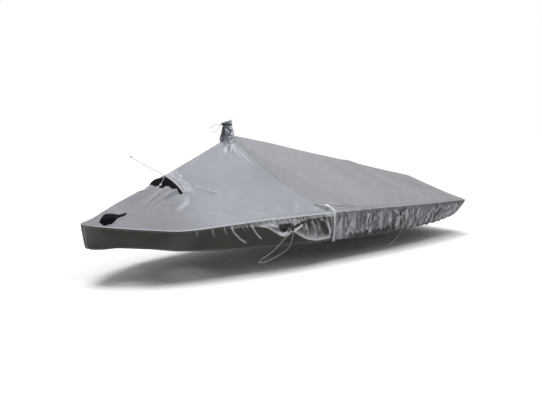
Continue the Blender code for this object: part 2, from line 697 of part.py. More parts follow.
def collar_point(turn, row):
    """turn runs from the bow side towards port; row is a line of COLLAR_ROWS."""
    share, radius, pleat = row
    side = -1 if math.sin(turn) >= 0 else 1
    folded = turn if turn <= math.pi else 2 * math.pi - turn
    foot = collar_foot(side, folded)
    band = NECK_HEIGHT - PEAK_HEIGHT
    if share <= 1.0:
        height = foot[2] + (band - NECK_HALF - foot[2]) * share
    else:
        top = FRILL_HEIGHT - PEAK_HEIGHT + 0.018 * math.cos(turn - math.radians(140))
        height = band + NECK_HALF + (top - band - NECK_HALF) * (share - 2.0)
    reach = radius + pleat * math.sin(COLLAR_PLEATS * turn + 2.2 * share)
    return np.array([-reach * math.cos(turn), -reach * math.sin(turn), height])


def make_collar():
    turns = [2 * math.pi * i / COLLAR_SIDES for i in range(COLLAR_SIDES)]
    grid = [[collar_point(turn, row) for row in COLLAR_ROWS] for turn in turns]
    grid.append(grid[0])
    return sheet("mast_collar", [(grid, 1, ())], "collar")


def make_collar_tie():
    """Three turns of cord round the neck, as one ring of their outer form."""
    inner = NECK_RADIUS + SEAM_GAP
    profile = [(inner, 0.0105), (inner + 0.0022, 0.0112), (inner + 0.0042, 0.0080),
               (inner + 0.0026, 0.0036), (inner + 0.0044, 0.0), (inner + 0.0026, -0.0036),
               (inner + 0.0042, -0.0080), (inner + 0.0022, -0.0112), (inner, -0.0105)]
    mesh = bpy.data.meshes.new("collar_tie_turns")
    bm = bmesh.new()
    rings = []
    for i in range(COLLAR_SIDES):
        turn = 2 * math.pi * i / COLLAR_SIDES
        ring = [bm.verts.new((-r * math.cos(turn), -r * math.sin(turn),
                              NECK_HEIGHT - PEAK_HEIGHT + z)) for r, z in profile]
        rings.append(ring)
    for i in range(COLLAR_SIDES):
        first, second = rings[i], rings[(i + 1) % COLLAR_SIDES]
        for j in range(len(profile)):
            k = (j + 1) % len(profile)
            bm.faces.new((first[j], first[k], second[k], second[j]))
    bmesh.ops.recalc_face_normals(bm, faces=bm.faces)
    bm.to_mesh(mesh)
    bm.free()
    mesh.shade_smooth()
    return add_object("collar_tie_turns", mesh, "cord")


# ---------------------------------------------------------------- bow vent
def hood_point(side, station, share):
    """The hood stands a little proud of the panel behind it."""
    outer = edge(side, station * EDGE_PER_RIDGE)
    point = top_point(side, fore_ridge(station), outer, share, HOOD_SAG, 0.0)
    front = 1 - ease(station, VENT_RIM_STATION, VENT_BACK_STATION)
    proud = HOOD_PROUD * front * math.sin(math.pi * min(share / VENT_SIDE, 1.0))
    return point + np.array([0, side * proud * 0.6, proud + vent_lift(side, station, share)])


def make_vent():
    rows = [share for share in TOP_ROWS if share <= VENT_SIDE]
    behind_lip = RIDGE_COLUMNS[RIDGE_COLUMNS.index(VENT_LIP_STATION) + 1]
    grids = []
    for _, side in SIDES:
        grid = [[], [], []]
        for share in rows:
            rim = VENT_RIM_STATION - VENT_ENDS[side][1] * share / VENT_SIDE
            middle = max(behind_lip, (rim + VENT_BACK_STATION) / 2)
            for line, station in zip(grid, (rim, middle, VENT_BACK_STATION)):
                line.append(hood_point(side, station, share))
        grid = drawn_in(grid, (0, PANEL_GAP, 0, PANEL_GAP))
        grids.append((grid, side, ()))
    sheet("vent_hood", grids, "hood")


# ---------------------------------------------------------------- straps, tabs and cords
def under_strap(side, share):
    """Points of the two top panels near a row of the shroud strap."""
    points = []
    for step in range(-6, 10):
        station = SHROUD_STATION + 0.015 * step
        for near in (share - 0.015, share, min(share + 0.015, 1.0)):
            if step < 0:
                turned = SEAM_TURN * (station - FAN_START) / (SHROUD_STATION - FAN_START)
                points.append(fore_point(side, "collar", turned, station, near))
            else:
                turned = SEAM_TURN + (math.pi - SEAM_TURN) * (station - SHROUD_STATION) / (
                    FAN_END - SHROUD_STATION)
                points.append(aft_point(side, "collar", turned, station, near))
    return points


def strap_path(side):
    """Middle of the shroud-slot strap: down the top panel, over the edge, down the skirt."""
    centres, normals = [], []
    inner, outer = collar_foot(side, SEAM_TURN), edge(side, SHROUD_STATION)
    up = np.cross(np.array([1.0, 0.0, 0.0]), outer - inner)
    up = up * (math.copysign(1.0, up[2]) / np.linalg.norm(up))
    for share, station in STRAP_TOP_ROWS:
        centre = top_point(side, inner, outer, share, SEAM_SAG, 0.0)
        centre[0] = station - MAST_STATION
        near = [point for point in under_strap(side, share)
                if abs(point[0] - centre[0]) < 0.7 * STRAP_WIDTH]
        proud = max([0.0] + [float((point - centre) @ up) for point in near])
        centres.append(centre + up * proud)
        normals.append(up)
    fold = up + np.array([0.0, side, 0.0])
    centres.append(outer + np.array([0.003, 0.0, 0.0]))
    normals.append(fold / np.linalg.norm(fold) * 1.15)
    for share, station in STRAP_SKIRT_ROWS:
        centre = skirt_point(side, station, min(share, 1.0))
        normal = np.array([0.0, side, 0.10])
        normal = normal / np.linalg.norm(normal)
        under = [skirt_point(side, station + step * STRAP_WIDTH, min(share, 1.0))
                 for step in (-0.6, -0.4, -0.2, 0.2, 0.4, 0.6)]
        proud = max(0.0, max(float((point - centre) @ normal) for point in under))
        below = np.array([0.0, 0.0, -section(station, 3) * max(share - 1.0, 0.0)])
        centres.append(centre + normal * proud + below)
        normals.append(normal)
    return centres, normals


def make_straps():
    for word, side in SIDES:
        centres, normals = strap_path(side)
        across = [np.array([1.0, 0.0, 0.0])] * len(centres)
        ribbon("shroud_strap_" + word, centres, normals, across, STRAP_WIDTH, "strap",
               STRAP_THICK, STRAP_CLEAR)


def knot(name, centre, radius):
    mesh = bpy.data.meshes.new(name)
    bm = bmesh.new()
    bmesh.ops.create_icosphere(bm, subdivisions=2, radius=radius)
    bmesh.ops.translate(bm, verts=bm.verts, vec=tuple(centre))
    bm.to_mesh(mesh)
    bm.free()
    mesh.shade_smooth()
    add_object(name, mesh, "cord")


def mirrored(points, side):
    """Route points are written for the port side."""
    return [place(s, side * a, z) for s, a, z in points]


def leaving(knot_centre, radius, points, both_ends=None):
    """Start a route at a knot's surface, and end it at a second knot's where there is one."""
    points = [np.array(p) for p in points]
    run = points[0] - knot_centre
    start = knot_centre + run / np.linalg.norm(run) * (radius + SEAM_GAP)
    if both_ends is None:
        return [start] + points
    centre, end_radius = both_ends
    back = points[-1] - centre
    return [start] + points + [centre + back / np.linalg.norm(back) * (end_radius + SEAM_GAP)]


def make_tabs():
    """Webbing tabs on the skirt, each with the knot of its tie-down cords."""
    knots = {}
    for word, side in SIDES:
        for number, (station, drop) in enumerate(TIE_DOWNS, 1):
            total = section(station, 3)
            centre = skirt_facet(side, station, drop / total)
            top, foot = [skirt_facet(side, station, (drop + step * TAB_HEIGHT) / total)
                         for step in (-0.5, 0.5)]
            normal = np.cross(foot - top, np.array([1.0, 0.0, 0.0]))
            normal = normal * (math.copysign(1.0, normal[1] * side) / np.linalg.norm(normal))
            half = 0.5 * TAB_HEIGHT * (foot - top) / np.linalg.norm(foot - top)
            under = [skirt_facet(side, station + across * TAB_WIDTH,
                                 (drop + along * TAB_HEIGHT) / total)
                     for across in np.linspace(-0.5, 0.5, 9) for along in np.linspace(-0.5, 0.5, 9)]
            proud = max(float((point - centre) @ normal) for point in under)
            base = [centre - half + normal * proud, centre + half + normal * proud]
            ribbon("tie_tab_%s_%d" % (word, number), base, [normal, normal],
                   [np.array([1.0, 0.0, 0.0])] * 2, TAB_WIDTH, "webbing", TAB_THICK, TAB_CLEAR)
            face = base[0] * 0.22 + base[1] * 0.78
            reach = TAB_CLEAR + TAB_THICK + SEAM_GAP + KNOT_RADIUS
            knots[word, number] = face + normal * reach
            knot("tie_knot_%s_%d" % (word, number), knots[word, number], KNOT_RADIUS)
    return knots


def make_tie_cords(knots):
    for word, side in SIDES:
        first, second = knots[word, 1], knots[word, 2]
        end = mirrored([FIRST_TIE_END], side)[0]
        knot("tie_end_%s_1" % word, end, END_RADIUS)
        for letter, route in zip("ab", FIRST_TIE_ROUTES):
            points = leaving(first, KNOT_RADIUS, mirrored(route, side), (end, END_RADIUS))
            cord("tie_cord_%s_1%s" % (word, letter), points, CORD_DIAMETER)
        end = mirrored([SECOND_TIE_END], side)[0]
        knot("tie_end_%s_2" % word, end, END_RADIUS)
        points = leaving(second, KNOT_RADIUS, mirrored(SECOND_TIE_ROUTE, side), (end, END_RADIUS))
        cord("tie_cord_%s_2a" % word, points, CORD_DIAMETER)
        points = leaving(second, KNOT_RADIUS, mirrored(SECOND_TIE_TAIL, side))
        cord("tie_cord_%s_2b" % word, points, CORD_DIAMETER)


def make_collar_ends():
    turn = -2 * math.pi * 2 / COLLAR_SIDES
    reach = NECK_RADIUS + SEAM_GAP + 0.0044 + SEAM_GAP + COLLAR_KNOT_RADIUS
    centre = np.array([-reach * math.cos(turn), -reach * math.sin(turn),
                       NECK_HEIGHT - PEAK_HEIGHT])
    knot("collar_tie_knot", centre, COLLAR_KNOT_RADIUS)
    for letter, route in zip("ab", COLLAR_END_ROUTES):
        points = [place(*point) for point in route]
        cord("collar_tie_end_" + letter, leaving(centre, COLLAR_KNOT_RADIUS, points),
             LINE_DIAMETER)


def make_vent_cords():
    centre = place(*VENT_TOGGLE)
    knot("vent_toggle", centre, VENT_KNOT_RADIUS)
    peak = fore_ridge(VENT_RIM_STATION)
    hang = peak + np.array([0.006, 0.0, -CLOTH - 0.0010])
    route = [centre + (hang - centre) * share for share in (0.4, 0.7, 1.0)]
    cord("vent_cord", leaving(centre, VENT_KNOT_RADIUS, route), LINE_DIAMETER)
    route = [place(*point) for point in VENT_TAIL]
    cord("vent_cord_end", leaving(centre, VENT_KNOT_RADIUS, route), LINE_DIAMETER)
    tie = place(*LIFT_LINE_END)
    knot("vent_lift_knot", tie, END_RADIUS)
    start = fore_ridge(VENT_RIM_STATION + 0.005) + np.array([0.0, 0.0, 0.0021])
    route = [start + (tie - start) * share - np.array([0, 0, 0.006 * math.sin(math.pi * share)])
             for share in (0.0, 0.25, 0.5, 0.75)]
    run = tie - route[-1]
    route.append(tie - run / np.linalg.norm(run) * (END_RADIUS + SEAM_GAP))
    cord("vent_lift_line", route, LINE_DIAMETER)


def main():
    clear_scene()
    collection = bpy.data.collections.new("boat_cover")
    bpy.context.scene.collection.children.link(collection)
    make_fore_top()
    make_aft_top()
    make_skirts()
    make_collar()
    make_collar_tie()
    make_vent()
    make_straps()
    make_tie_cords(make_tabs())
    make_collar_ends()
    make_vent_cords()


main()
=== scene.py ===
"""Looks of the mast-up boat cover: folds, seams and wrinkles of its cloth panels, the mast
collar, the bow vent, webbing, cords and knots, and the studio round them."""
import math
from functools import partial

import bmesh
import bpy
import numpy as np
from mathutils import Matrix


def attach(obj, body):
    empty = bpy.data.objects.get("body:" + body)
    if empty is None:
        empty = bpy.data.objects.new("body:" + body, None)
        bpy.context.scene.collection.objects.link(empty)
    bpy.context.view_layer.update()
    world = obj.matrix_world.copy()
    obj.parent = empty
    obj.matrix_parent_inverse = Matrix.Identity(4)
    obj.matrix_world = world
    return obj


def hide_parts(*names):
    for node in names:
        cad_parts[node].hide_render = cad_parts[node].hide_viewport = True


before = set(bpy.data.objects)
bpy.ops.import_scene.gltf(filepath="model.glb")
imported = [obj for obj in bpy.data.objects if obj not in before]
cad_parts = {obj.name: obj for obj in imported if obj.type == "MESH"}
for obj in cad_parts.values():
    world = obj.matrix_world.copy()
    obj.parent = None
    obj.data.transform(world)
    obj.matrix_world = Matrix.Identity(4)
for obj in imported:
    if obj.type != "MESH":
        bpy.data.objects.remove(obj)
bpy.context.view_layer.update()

# ---------------------------------------------------------------- sizes shared with the part
COVER_LENGTH = 5.50
MAST_STATION = 1.785
PEAK_HEIGHT = 0.93
CLOTH = 0.002
# how far the sheets stay clear of their neighbours
SEAM_GAP = 0.0003
PANEL_GAP = 0.0006
EDGE_GAP = 0.0013
CORNER_GAP = 0.0028
COLLAR_GAP = 0.0022
TRANSOM_GAP = 0.0009
BOW_GAP = 0.0014
SHROUD_STATION = 2.65
STRAP_STATION = 2.655
BOOM_END_STATION = 5.18

COLLAR_BASE_RADIUS = 0.085
COLLAR_BASE_FORE = 0.880
COLLAR_BASE_AFT = 0.948
COLLAR_SIDE_DIP = 0.050
NECK_RADIUS = 0.0530
NECK_HEIGHT = 1.076
NECK_HALF = 0.0125
FRILL_HEIGHT = 1.111
SEAM_TURN = math.radians(118.0)

VENT_RIM_STATION = 0.940
VENT_LIP_STATION = 0.855
VENT_BACK_STATION = 1.085
VENT_LIP_SAG = 0.062
VENT_SIDE = 0.37
SEAM_SAG = 0.085
# for each side: how far the lip's end curves aft, how far the end of the hood's rim lies
# forward, and how far the cloth round that end is lifted
VENT_ENDS = {-1: (0.070, -0.018, 0.018), 1: (-0.035, 0.115, 0.085)}
# height of the port lip's waves: (share, height)
VENT_LIP_WAVE = ((0.00, 0.000), (0.05, 0.000), (0.10, 0.006), (0.175, 0.045), (0.215, 0.045),
                 (0.265, 0.026), (0.33, 0.046), (0.362, 0.000), (0.37, 0.000))
HOOD_SAG = 0.018
HOOD_PROUD = 0.016
HOOD_LAP = 0.005

# (station, half breadth, height, hem drop, hem inset)
SECTIONS = (
    (0.000, 0.000, 0.094, 0.245, 0.030),
    (0.020, 0.092, 0.092, 0.243, 0.031),
    (0.082, 0.185, 0.087, 0.234, 0.033),
    (0.220, 0.332, 0.075, 0.203, 0.035),
    (0.440, 0.490, 0.054, 0.196, 0.033),
    (0.770, 0.628, 0.027, 0.212, 0.030),
    (1.210, 0.739, 0.043, 0.258, 0.030),
    (1.760, 0.827, 0.065, 0.297, 0.030),
    (2.475, 0.891, 0.066, 0.322, 0.032),
    (3.300, 0.924, 0.051, 0.337, 0.036),
    (4.125, 0.910, 0.022, 0.312, 0.055),
    (4.840, 0.868, -0.003, 0.300, 0.115),
    (5.500, 0.804, -0.031, 0.262, 0.200),
)
# (station, height)
FORE_RIDGE = ((0.00, 0.094), (0.07, 0.128), (0.25, 0.218), (0.39, 0.285), (0.54, 0.346),
              (0.70, 0.418), (0.94, 0.530), (1.25, 0.670), (1.51, 0.790), (1.70, 0.880))
AFT_RIDGE = ((1.87, 0.948), (2.18, 0.893), (2.44, 0.846), (2.88, 0.754), (3.37, 0.660),
             (3.68, 0.600), (3.87, 0.572), (4.03, 0.528), (4.46, 0.436), (5.18, 0.297))
FAN_START = 1.95
FAN_END = 3.15
EDGE_PER_RIDGE = FAN_START / 1.70

# swag hung from the first tie-down: (station, drop of its fold, how far it stands out)
SWAG = ((1.52, 0.030, 0.000), (1.70, 0.080, 0.018), (1.80, 0.140, 0.036),
        (1.90, 0.190, 0.046), (1.96, 0.185, 0.046), (2.01, 0.150, 0.048),
        (2.12, 0.205, 0.052), (2.24, 0.262, 0.054), (2.42, 0.292, 0.046),
        (2.53, 0.292, 0.034), (2.65, 0.287, 0.000))
# bow opening in the port fore panel: (ridge station, upper share, lower share)
BOW_OPENING = ((0.115, 0.46, 0.84), (0.165, 0.22, 0.80), (0.215, 0.13, 0.64),
               (0.265, 0.22, 0.51), (0.315, 0.345, 0.475), (0.370, 0.345, 0.420))
BOW_UPPER_SHARE = 0.20
BOW_LOWER_SHARE = 0.67
BOW_LIP_RISE = 0.012
# gathers of the aft skirt: (pitch, height)
GATHERS = ((0.17, 0.012), (0.21, 0.016), (0.15, 0.011), (0.19, 0.018), (0.16, 0.013),
           (0.20, 0.016), (0.17, 0.011), (0.14, 0.013), (0.19, 0.017), (0.15, 0.013),
           (0.18, 0.016), (0.14, 0.012), (0.17, 0.016), (0.15, 0.013), (0.16, 0.015),
           (0.14, 0.012), (0.17, 0.012), (0.16, 0.008))
SIDES = (("port", -1), ("starboard", 1))

# ---------------------------------------------------------------- creases given one by one
# each: (height, half width, part that fades in, part that fades out, route)
# fore panel routes are (deck-edge station, share from ridge or collar to deck edge)
FORE_CREASES = (
    (0.009, 0.030, 0.10, 0.45, ((1.07, 0.42), (1.00, 0.50), (0.93, 0.57), (0.85, 0.65))),
    (-0.005, 0.026, 0.10, 0.45, ((1.03, 0.42), (0.93, 0.51), (0.80, 0.65))),
    (0.006, 0.012, 0.20, 0.50, ((1.28, 0.33), (1.40, 0.44), (1.49, 0.54), (1.55, 0.62))),
    (-0.005, 0.014, 0.20, 0.50, ((1.26, 0.37), (1.37, 0.48), (1.46, 0.58))),
    (0.006, 0.022, 0.05, 0.50, ((0.95, 0.15), (0.86, 0.19), (0.71, 0.26), (0.60, 0.30))),
    (-0.005, 0.024, 0.15, 0.50, ((0.90, 0.23), (0.78, 0.27), (0.66, 0.33))),
    (-0.004, 0.022, 0.10, 0.50, ((0.86, 0.12), (0.74, 0.15), (0.60, 0.17))),
    (0.004, 0.020, 0.10, 0.50, ((0.96, 0.30), (0.86, 0.36), (0.75, 0.44))),
    (0.004, 0.016, 0.30, 0.30, ((1.07, 0.68), (1.26, 0.79), (1.42, 0.95))),
    (-0.003, 0.018, 0.30, 0.30, ((1.12, 0.64), (1.32, 0.76), (1.52, 0.93))),
    (0.008, 0.007, 0.30, 0.50, ((1.60, 0.03), (1.50, 0.05), (1.38, 0.06))),
    (0.006, 0.006, 0.30, 0.50, ((1.48, 0.08), (1.40, 0.09), (1.30, 0.10))),
    (0.004, 0.007, 0.20, 0.50, ((1.37, 0.04), (1.34, 0.09), (1.30, 0.14))),
    (0.005, 0.008, 0.10, 0.60, ((1.20, 0.36), (1.20, 0.42), (1.19, 0.49))),
    (-0.005, 0.008, 0.10, 0.60, ((1.17, 0.38), (1.15, 0.45), (1.12, 0.52))),
    (0.004, 0.007, 0.10, 0.60, ((1.14, 0.39), (1.11, 0.46), (1.07, 0.53))),
    (-0.008, 0.016, 0.30, 0.20, ((2.33, 0.72), (2.16, 0.88), (2.09, 0.98))),
    (0.006, 0.014, 0.30, 0.20, ((2.40, 0.74), (2.24, 0.89), (2.17, 0.98))),
    (-0.006, 0.012, 0.30, 0.20, ((2.12, 0.74), (2.05, 0.86), (2.02, 0.93))),
    (0.004, 0.012, 0.30, 0.20, ((2.05, 0.78), (1.99, 0.88), (1.96, 0.96))),
    (-0.005, 0.010, 0.30, 0.10, ((2.27, 0.88), (2.21, 0.94), (2.17, 0.99))),
    (-0.005, 0.010, 0.40, 0.10, ((2.44, 0.86), (2.38, 0.94), (2.35, 0.99))),
    (0.004, 0.016, 0.40, 0.30, ((1.44, 0.76), (1.62, 0.86), (1.80, 0.95))),
    (-0.003, 0.014, 0.40, 0.30, ((1.52, 0.76), (1.70, 0.85), (1.90, 0.94))),
    (0.003, 0.014, 0.40, 0.40, ((1.66, 0.66), (1.80, 0.78), (1.96, 0.87))),
    (0.002, 0.012, 0.02, 0.55, ((2.20, 0.015), (2.04, 0.06), (1.90, 0.13))),
    (-0.001, 0.010, 0.02, 0.55, ((2.30, 0.015), (2.10, 0.06), (1.95, 0.12))),
    (0.002, 0.012, 0.02, 0.55, ((2.40, 0.015), (2.17, 0.06), (1.99, 0.14))),
    (-0.001, 0.010, 0.02, 0.55, ((2.46, 0.015), (2.26, 0.06), (2.08, 0.14))),
    (0.005, 0.009, 0.02, 0.60, ((2.52, 0.015), (2.34, 0.06), (2.17, 0.15))),
    (-0.003, 0.009, 0.02, 0.60, ((2.56, 0.015), (2.41, 0.06), (2.27, 0.15))),
    (0.002, 0.008, 0.02, 0.60, ((2.59, 0.02), (2.46, 0.07), (2.36, 0.18))),
    (0.002, 0.008, 0.02, 0.60, ((2.62, 0.03), (2.55, 0.09), (2.50, 0.20))),
    (0.002, 0.010, 0.02, 0.60, ((2.04, 0.015), (1.93, 0.05), (1.84, 0.10))),
    (-0.001, 0.010, 0.02, 0.60, ((2.10, 0.015), (1.98, 0.05), (1.88, 0.10))),
    (0.007, 0.009, 0.10, 0.50, ((2.50, 0.90), (2.46, 0.95), (2.44, 0.99))),
    (-0.006, 0.009, 0.10, 0.50, ((2.54, 0.88), (2.51, 0.94), (2.50, 0.99))),
)
# marks of colour only, on the fore panels: painted shadow in dark lines beside the strap; painted
# sheen, highlights and a line of painted shade below the collar
FORE_MARKS = (
    (0.0030, 0.100, 0.02, 0.50, ((2.10, 0.03), (2.16, 0.14), (2.20, 0.34))),
    (0.0020, 0.080, 0.02, 0.50, ((2.40, 0.03), (2.38, 0.14), (2.36, 0.32))),
    (0.022, 0.0085, 0.15, 0.15, ((2.212, 0.020), (2.060, 0.055), (1.979, 0.082),
                                 (1.913, 0.120))),
    (0.022, 0.0085, 0.15, 0.15, ((2.526, 0.006), (2.400, 0.026), (2.279, 0.054),
                                 (2.140, 0.092), (2.017, 0.134))),
    (-0.014, 0.0080, 0.15, 0.30, ((2.360, 0.014), (2.150, 0.058), (1.965, 0.130))),
    (0.012, 0.0080, 0.10, 0.30, ((2.52, 0.020), (2.36, 0.06), (2.20, 0.130))),
    (0.005, 0.0070, 0.10, 0.40, ((2.57, 0.020), (2.46, 0.07), (2.34, 0.180))),
    (0.010, 0.0080, 0.10, 0.50, ((2.46, 0.120), (2.44, 0.20), (2.42, 0.300))),
    (-0.060, 0.0115, 0.10, 0.05, ((2.560, 0.838), (2.590, 0.868), (2.612, 0.905),
                                  (2.624, 0.960))),
    (-0.042, 0.0085, 0.20, 0.10, ((2.545, 0.905), (2.575, 0.940), (2.595, 0.985))),
)
# aft panel routes are (deck-edge station, share)
AFT_CREASES = (
    (0.008, 0.016, 0.20, 0.30, ((5.30, 0.06), (5.28, 0.28), (5.29, 0.38), (5.36, 0.50),
                                (5.44, 0.62))),
    (-0.006, 0.018, 0.20, 0.30, ((5.22, 0.08), (5.20, 0.28), (5.22, 0.40), (5.30, 0.54))),
    (0.002, 0.022, 0.30, 0.40, ((4.58, 0.34), (4.66, 0.46), (4.72, 0.60))),
    (0.001, 0.022, 0.30, 0.40, ((4.46, 0.16), (4.56, 0.28), (4.66, 0.40))),
    (-0.002, 0.034, 0.30, 0.40, ((3.90, 0.20), (4.06, 0.45), (4.26, 0.72))),
    (0.002, 0.034, 0.30, 0.40, ((3.55, 0.18), (3.72, 0.44), (3.95, 0.74))),
    (-0.003, 0.030, 0.30, 0.40, ((3.20, 0.25), (3.34, 0.48), (3.52, 0.76))),
    (0.003, 0.020, 0.20, 0.50, ((2.95, 0.05), (2.98, 0.22), (3.06, 0.42))),
    (0.009, 0.009, 0.10, 0.40, ((2.70, 0.90), (2.80, 0.94), (2.96, 0.98))),
    (-0.008, 0.009, 0.10, 0.40, ((2.70, 0.87), (2.84, 0.92), (3.04, 0.97))),
    (0.009, 0.009, 0.10, 0.40, ((2.78, 0.87), (2.95, 0.92), (3.12, 0.97))),
    (-0.006, 0.009, 0.10, 0.40, ((2.90, 0.88), (3.05, 0.93), (3.22, 0.97))),
    (0.007, 0.009, 0.10, 0.40, ((3.00, 0.89), (3.16, 0.94), (3.34, 0.98))),
    (0.004, 0.008, 0.10, 0.50, ((5.40, 0.90), (5.42, 0.95), (5.44, 0.99))),
)
# fore skirt routes are (station, drop below the deck edge)
FORE_SKIRT_CREASES = (
    (0.007, 0.008, 0.05, 0.45, ((0.905, 0.008), (0.910, 0.040), (0.915, 0.080))),
    (0.008, 0.009, 0.05, 0.45, ((1.065, 0.008), (1.080, 0.060), (1.100, 0.125))),
    (0.009, 0.009, 0.05, 0.45, ((1.195, 0.008), (1.215, 0.060), (1.245, 0.120))),
    (0.014, 0.010, 0.05, 0.12, ((1.275, 0.006), (1.313, 0.086), (1.385, 0.162),
                                (1.478, 0.226))),
    (0.007, 0.008, 0.05, 0.50, ((1.400, 0.030), (1.430, 0.070), (1.460, 0.100))),
    (0.007, 0.008, 0.05, 0.50, ((1.450, 0.025), (1.480, 0.075), (1.510, 0.115))),
    (0.014, 0.010, 0.05, 0.12, ((1.500, 0.022), (1.579, 0.136), (1.651, 0.206))),
    (-0.016, 0.022, 0.20, 0.30, ((1.840, 0.060), (1.890, 0.110), (1.940, 0.150))),
    (0.010, 0.010, 0.10, 0.20, ((1.720, 0.050), (1.830, 0.085), (1.970, 0.105))),
    (0.012, 0.009, 0.02, 0.30, ((2.012, 0.146), (2.095, 0.125), (2.195, 0.083))),
    (-0.010, 0.010, 0.05, 0.30, ((2.035, 0.114), (2.095, 0.095), (2.150, 0.078))),
    (-0.009, 0.012, 0.10, 0.50, ((2.150, 0.050), (2.185, 0.085), (2.205, 0.125))),
    (-0.012, 0.014, 0.10, 0.50, ((2.235, 0.045), (2.265, 0.090), (2.285, 0.140))),
    (-0.010, 0.010, 0.10, 0.50, ((2.320, 0.045), (2.350, 0.085), (2.370, 0.120))),
    (-0.010, 0.009, 0.10, 0.50, ((2.385, 0.040), (2.415, 0.075), (2.430, 0.105))),
    (0.005, 0.014, 0.10, 0.40, ((2.200, 0.070), (2.215, 0.120), (2.220, 0.170))),
    (0.005, 0.014, 0.10, 0.40, ((2.300, 0.060), (2.335, 0.120), (2.350, 0.190))),
    (0.012, 0.010, 0.10, 0.30, ((2.415, 0.050), (2.500, 0.090), (2.565, 0.180),
                                (2.625, 0.265))),
    (0.004, 0.012, 0.10, 0.30, ((2.400, 0.055), (2.415, 0.150), (2.465, 0.220),
                                (2.590, 0.280))),
    (-0.012, 0.030, 0.20, 0.20, ((2.440, 0.080), (2.480, 0.150), (2.560, 0.240))),
    (-0.008, 0.012, 0.10, 0.40, ((2.560, 0.040), (2.590, 0.110), (2.605, 0.180))),
)
# marks of colour only, on the fore skirts: painted highlights on folds round the first tie-down
FORE_SKIRT_MARKS = (
    (0.030, 0.011, 0.15, 0.15, ((1.835, 0.150), (1.903, 0.174), (1.960, 0.149))),
    (0.010, 0.009, 0.10, 0.10, ((1.862, 0.082), (1.920, 0.096), (1.976, 0.108))),
    (0.012, 0.010, 0.02, 0.20, ((2.010, 0.148), (2.095, 0.125), (2.191, 0.084))),
    (0.010, 0.008, 0.05, 0.30, ((2.030, 0.098), (2.062, 0.078), (2.095, 0.060))),
    (0.008, 0.009, 0.05, 0.30, ((2.551, 0.101), (2.610, 0.220), (2.632, 0.262))),
)
# aft skirt routes are (station, drop)
AFT_SKIRT_CREASES = (
    (0.018, 0.010, 0.02, 0.30, ((3.830, 0.100), (3.755, 0.062), (3.670, 0.030))),
    (0.018, 0.010, 0.02, 0.30, ((3.852, 0.105), (3.930, 0.075), (4.010, 0.042))),
    (0.015, 0.011, 0.02, 0.30, ((3.835, 0.120), (3.810, 0.200), (3.770, 0.290))),
    (-0.012, 0.018, 0.10, 0.40, ((3.870, 0.130), (3.900, 0.190), (3.900, 0.260))),
    (-0.010, 0.016, 0.10, 0.40, ((3.780, 0.110), (3.740, 0.170), (3.700, 0.240))),
)

# hood routes are (depth from rim to back seam, share)
HOOD_CREASES = (
    (0.002, 0.007, 0.02, 0.10, ((0.06, 0.02), (0.07, 0.18), (0.08, 0.36))),
    (-0.003, 0.007, 0.02, 0.10, ((0.20, 0.03), (0.22, 0.18), (0.24, 0.35))),
)
# collar routes are (turn from the bow side towards port, share of the way up)
COLLAR_CREASES = (
    (-0.010, 0.007, 0.05, 0.30, ((0.75, 0.92), (1.25, 0.76), (1.90, 0.70))),
    (0.005, 0.006, 0.05, 0.30, ((0.70, 0.84), (1.20, 0.66), (1.75, 0.58))),
    (-0.009, 0.006, 0.10, 0.30, ((2.10, 0.86), (1.70, 0.66), (1.25, 0.50))),
    (0.009, 0.007, 0.10, 0.30, ((2.30, 0.80), (1.95, 0.60), (1.55, 0.42))),
    (-0.009, 0.007, 0.10, 0.40, ((0.95, 0.55), (1.30, 0.42), (1.80, 0.40))),
    (0.005, 0.006, 0.10, 0.40, ((1.25, 0.46), (1.60, 0.36), (2.00, 0.34))),
    (-0.009, 0.007, 0.10, 0.40, ((1.50, 0.30), (1.95, 0.24), (2.40, 0.30))),
    (0.009, 0.007, 0.10, 0.40, ((2.60, 0.90), (2.80, 0.60), (2.70, 0.30))),
    (-0.008, 0.006, 0.10, 0.40, ((2.80, 0.85), (3.05, 0.60), (3.00, 0.25))),
    (0.009, 0.007, 0.10, 0.40, ((3.40, 0.90), (3.60, 0.55), (3.50, 0.20))),
    (-0.009, 0.007, 0.10, 0.40, ((3.90, 0.85), (4.10, 0.55), (4.40, 0.30))),
    (0.009, 0.007, 0.10, 0.40, ((4.40, 0.85), (4.60, 0.55), (4.40, 0.20))),
    (-0.009, 0.007, 0.10, 0.40, ((4.90, 0.80), (5.10, 0.50), (5.00, 0.20))),
    (0.009, 0.007, 0.10, 0.40, ((5.60, 0.85), (5.70, 0.55), (5.50, 0.25))),
    (-0.009, 0.007, 0.10, 0.40, ((0.20, 0.85), (0.30, 0.55), (0.15, 0.25))),
)

# small folds at seeded places, each: (seed, how many, then the ranges of station, share or
# drop, length, height, half width, and direction where it isn't free)
FORE_CRUMPLES = (
    (3, 46, (2.0, 2.62), (0.02, 0.10), (0.05, 0.12), (0.0006, 0.0020), (0.005, 0.008),
     (1.3, 2.2)),
    (9, 60, (1.15, 2.6), (0.90, 0.99), (0.03, 0.07), (0.001, 0.003), (0.005, 0.010), (1.2, 2.1)),
    (15, 40, (0.60, 1.45), (0.30, 0.55), (0.05, 0.14), (0.001, 0.003), (0.006, 0.014)),
)
AFT_CRUMPLES = (
    (31, 70, (2.7, 5.4), (0.90, 0.99), (0.03, 0.08), (0.001, 0.003), (0.006, 0.012), (0.9, 2.2)),
    (37, 16, (2.7, 3.1), (0.02, 0.09), (0.04, 0.10), (0.001, 0.003), (0.005, 0.008), (1.3, 1.9)),
)
FORE_SKIRT_CRUMPLES = (
    (51, 90, (1.25, 2.6), (0.004, 0.030), (0.025, 0.065), (0.002, 0.0045), (0.004, 0.007),
     (1.2, 1.9)),
)
SWAG_CRUMPLES = (
    (57, 40, (1.60, 2.6), (0.05, 0.20), (0.04, 0.10), (0.002, 0.005), (0.006, 0.010), (0.7, 2.3)),
)
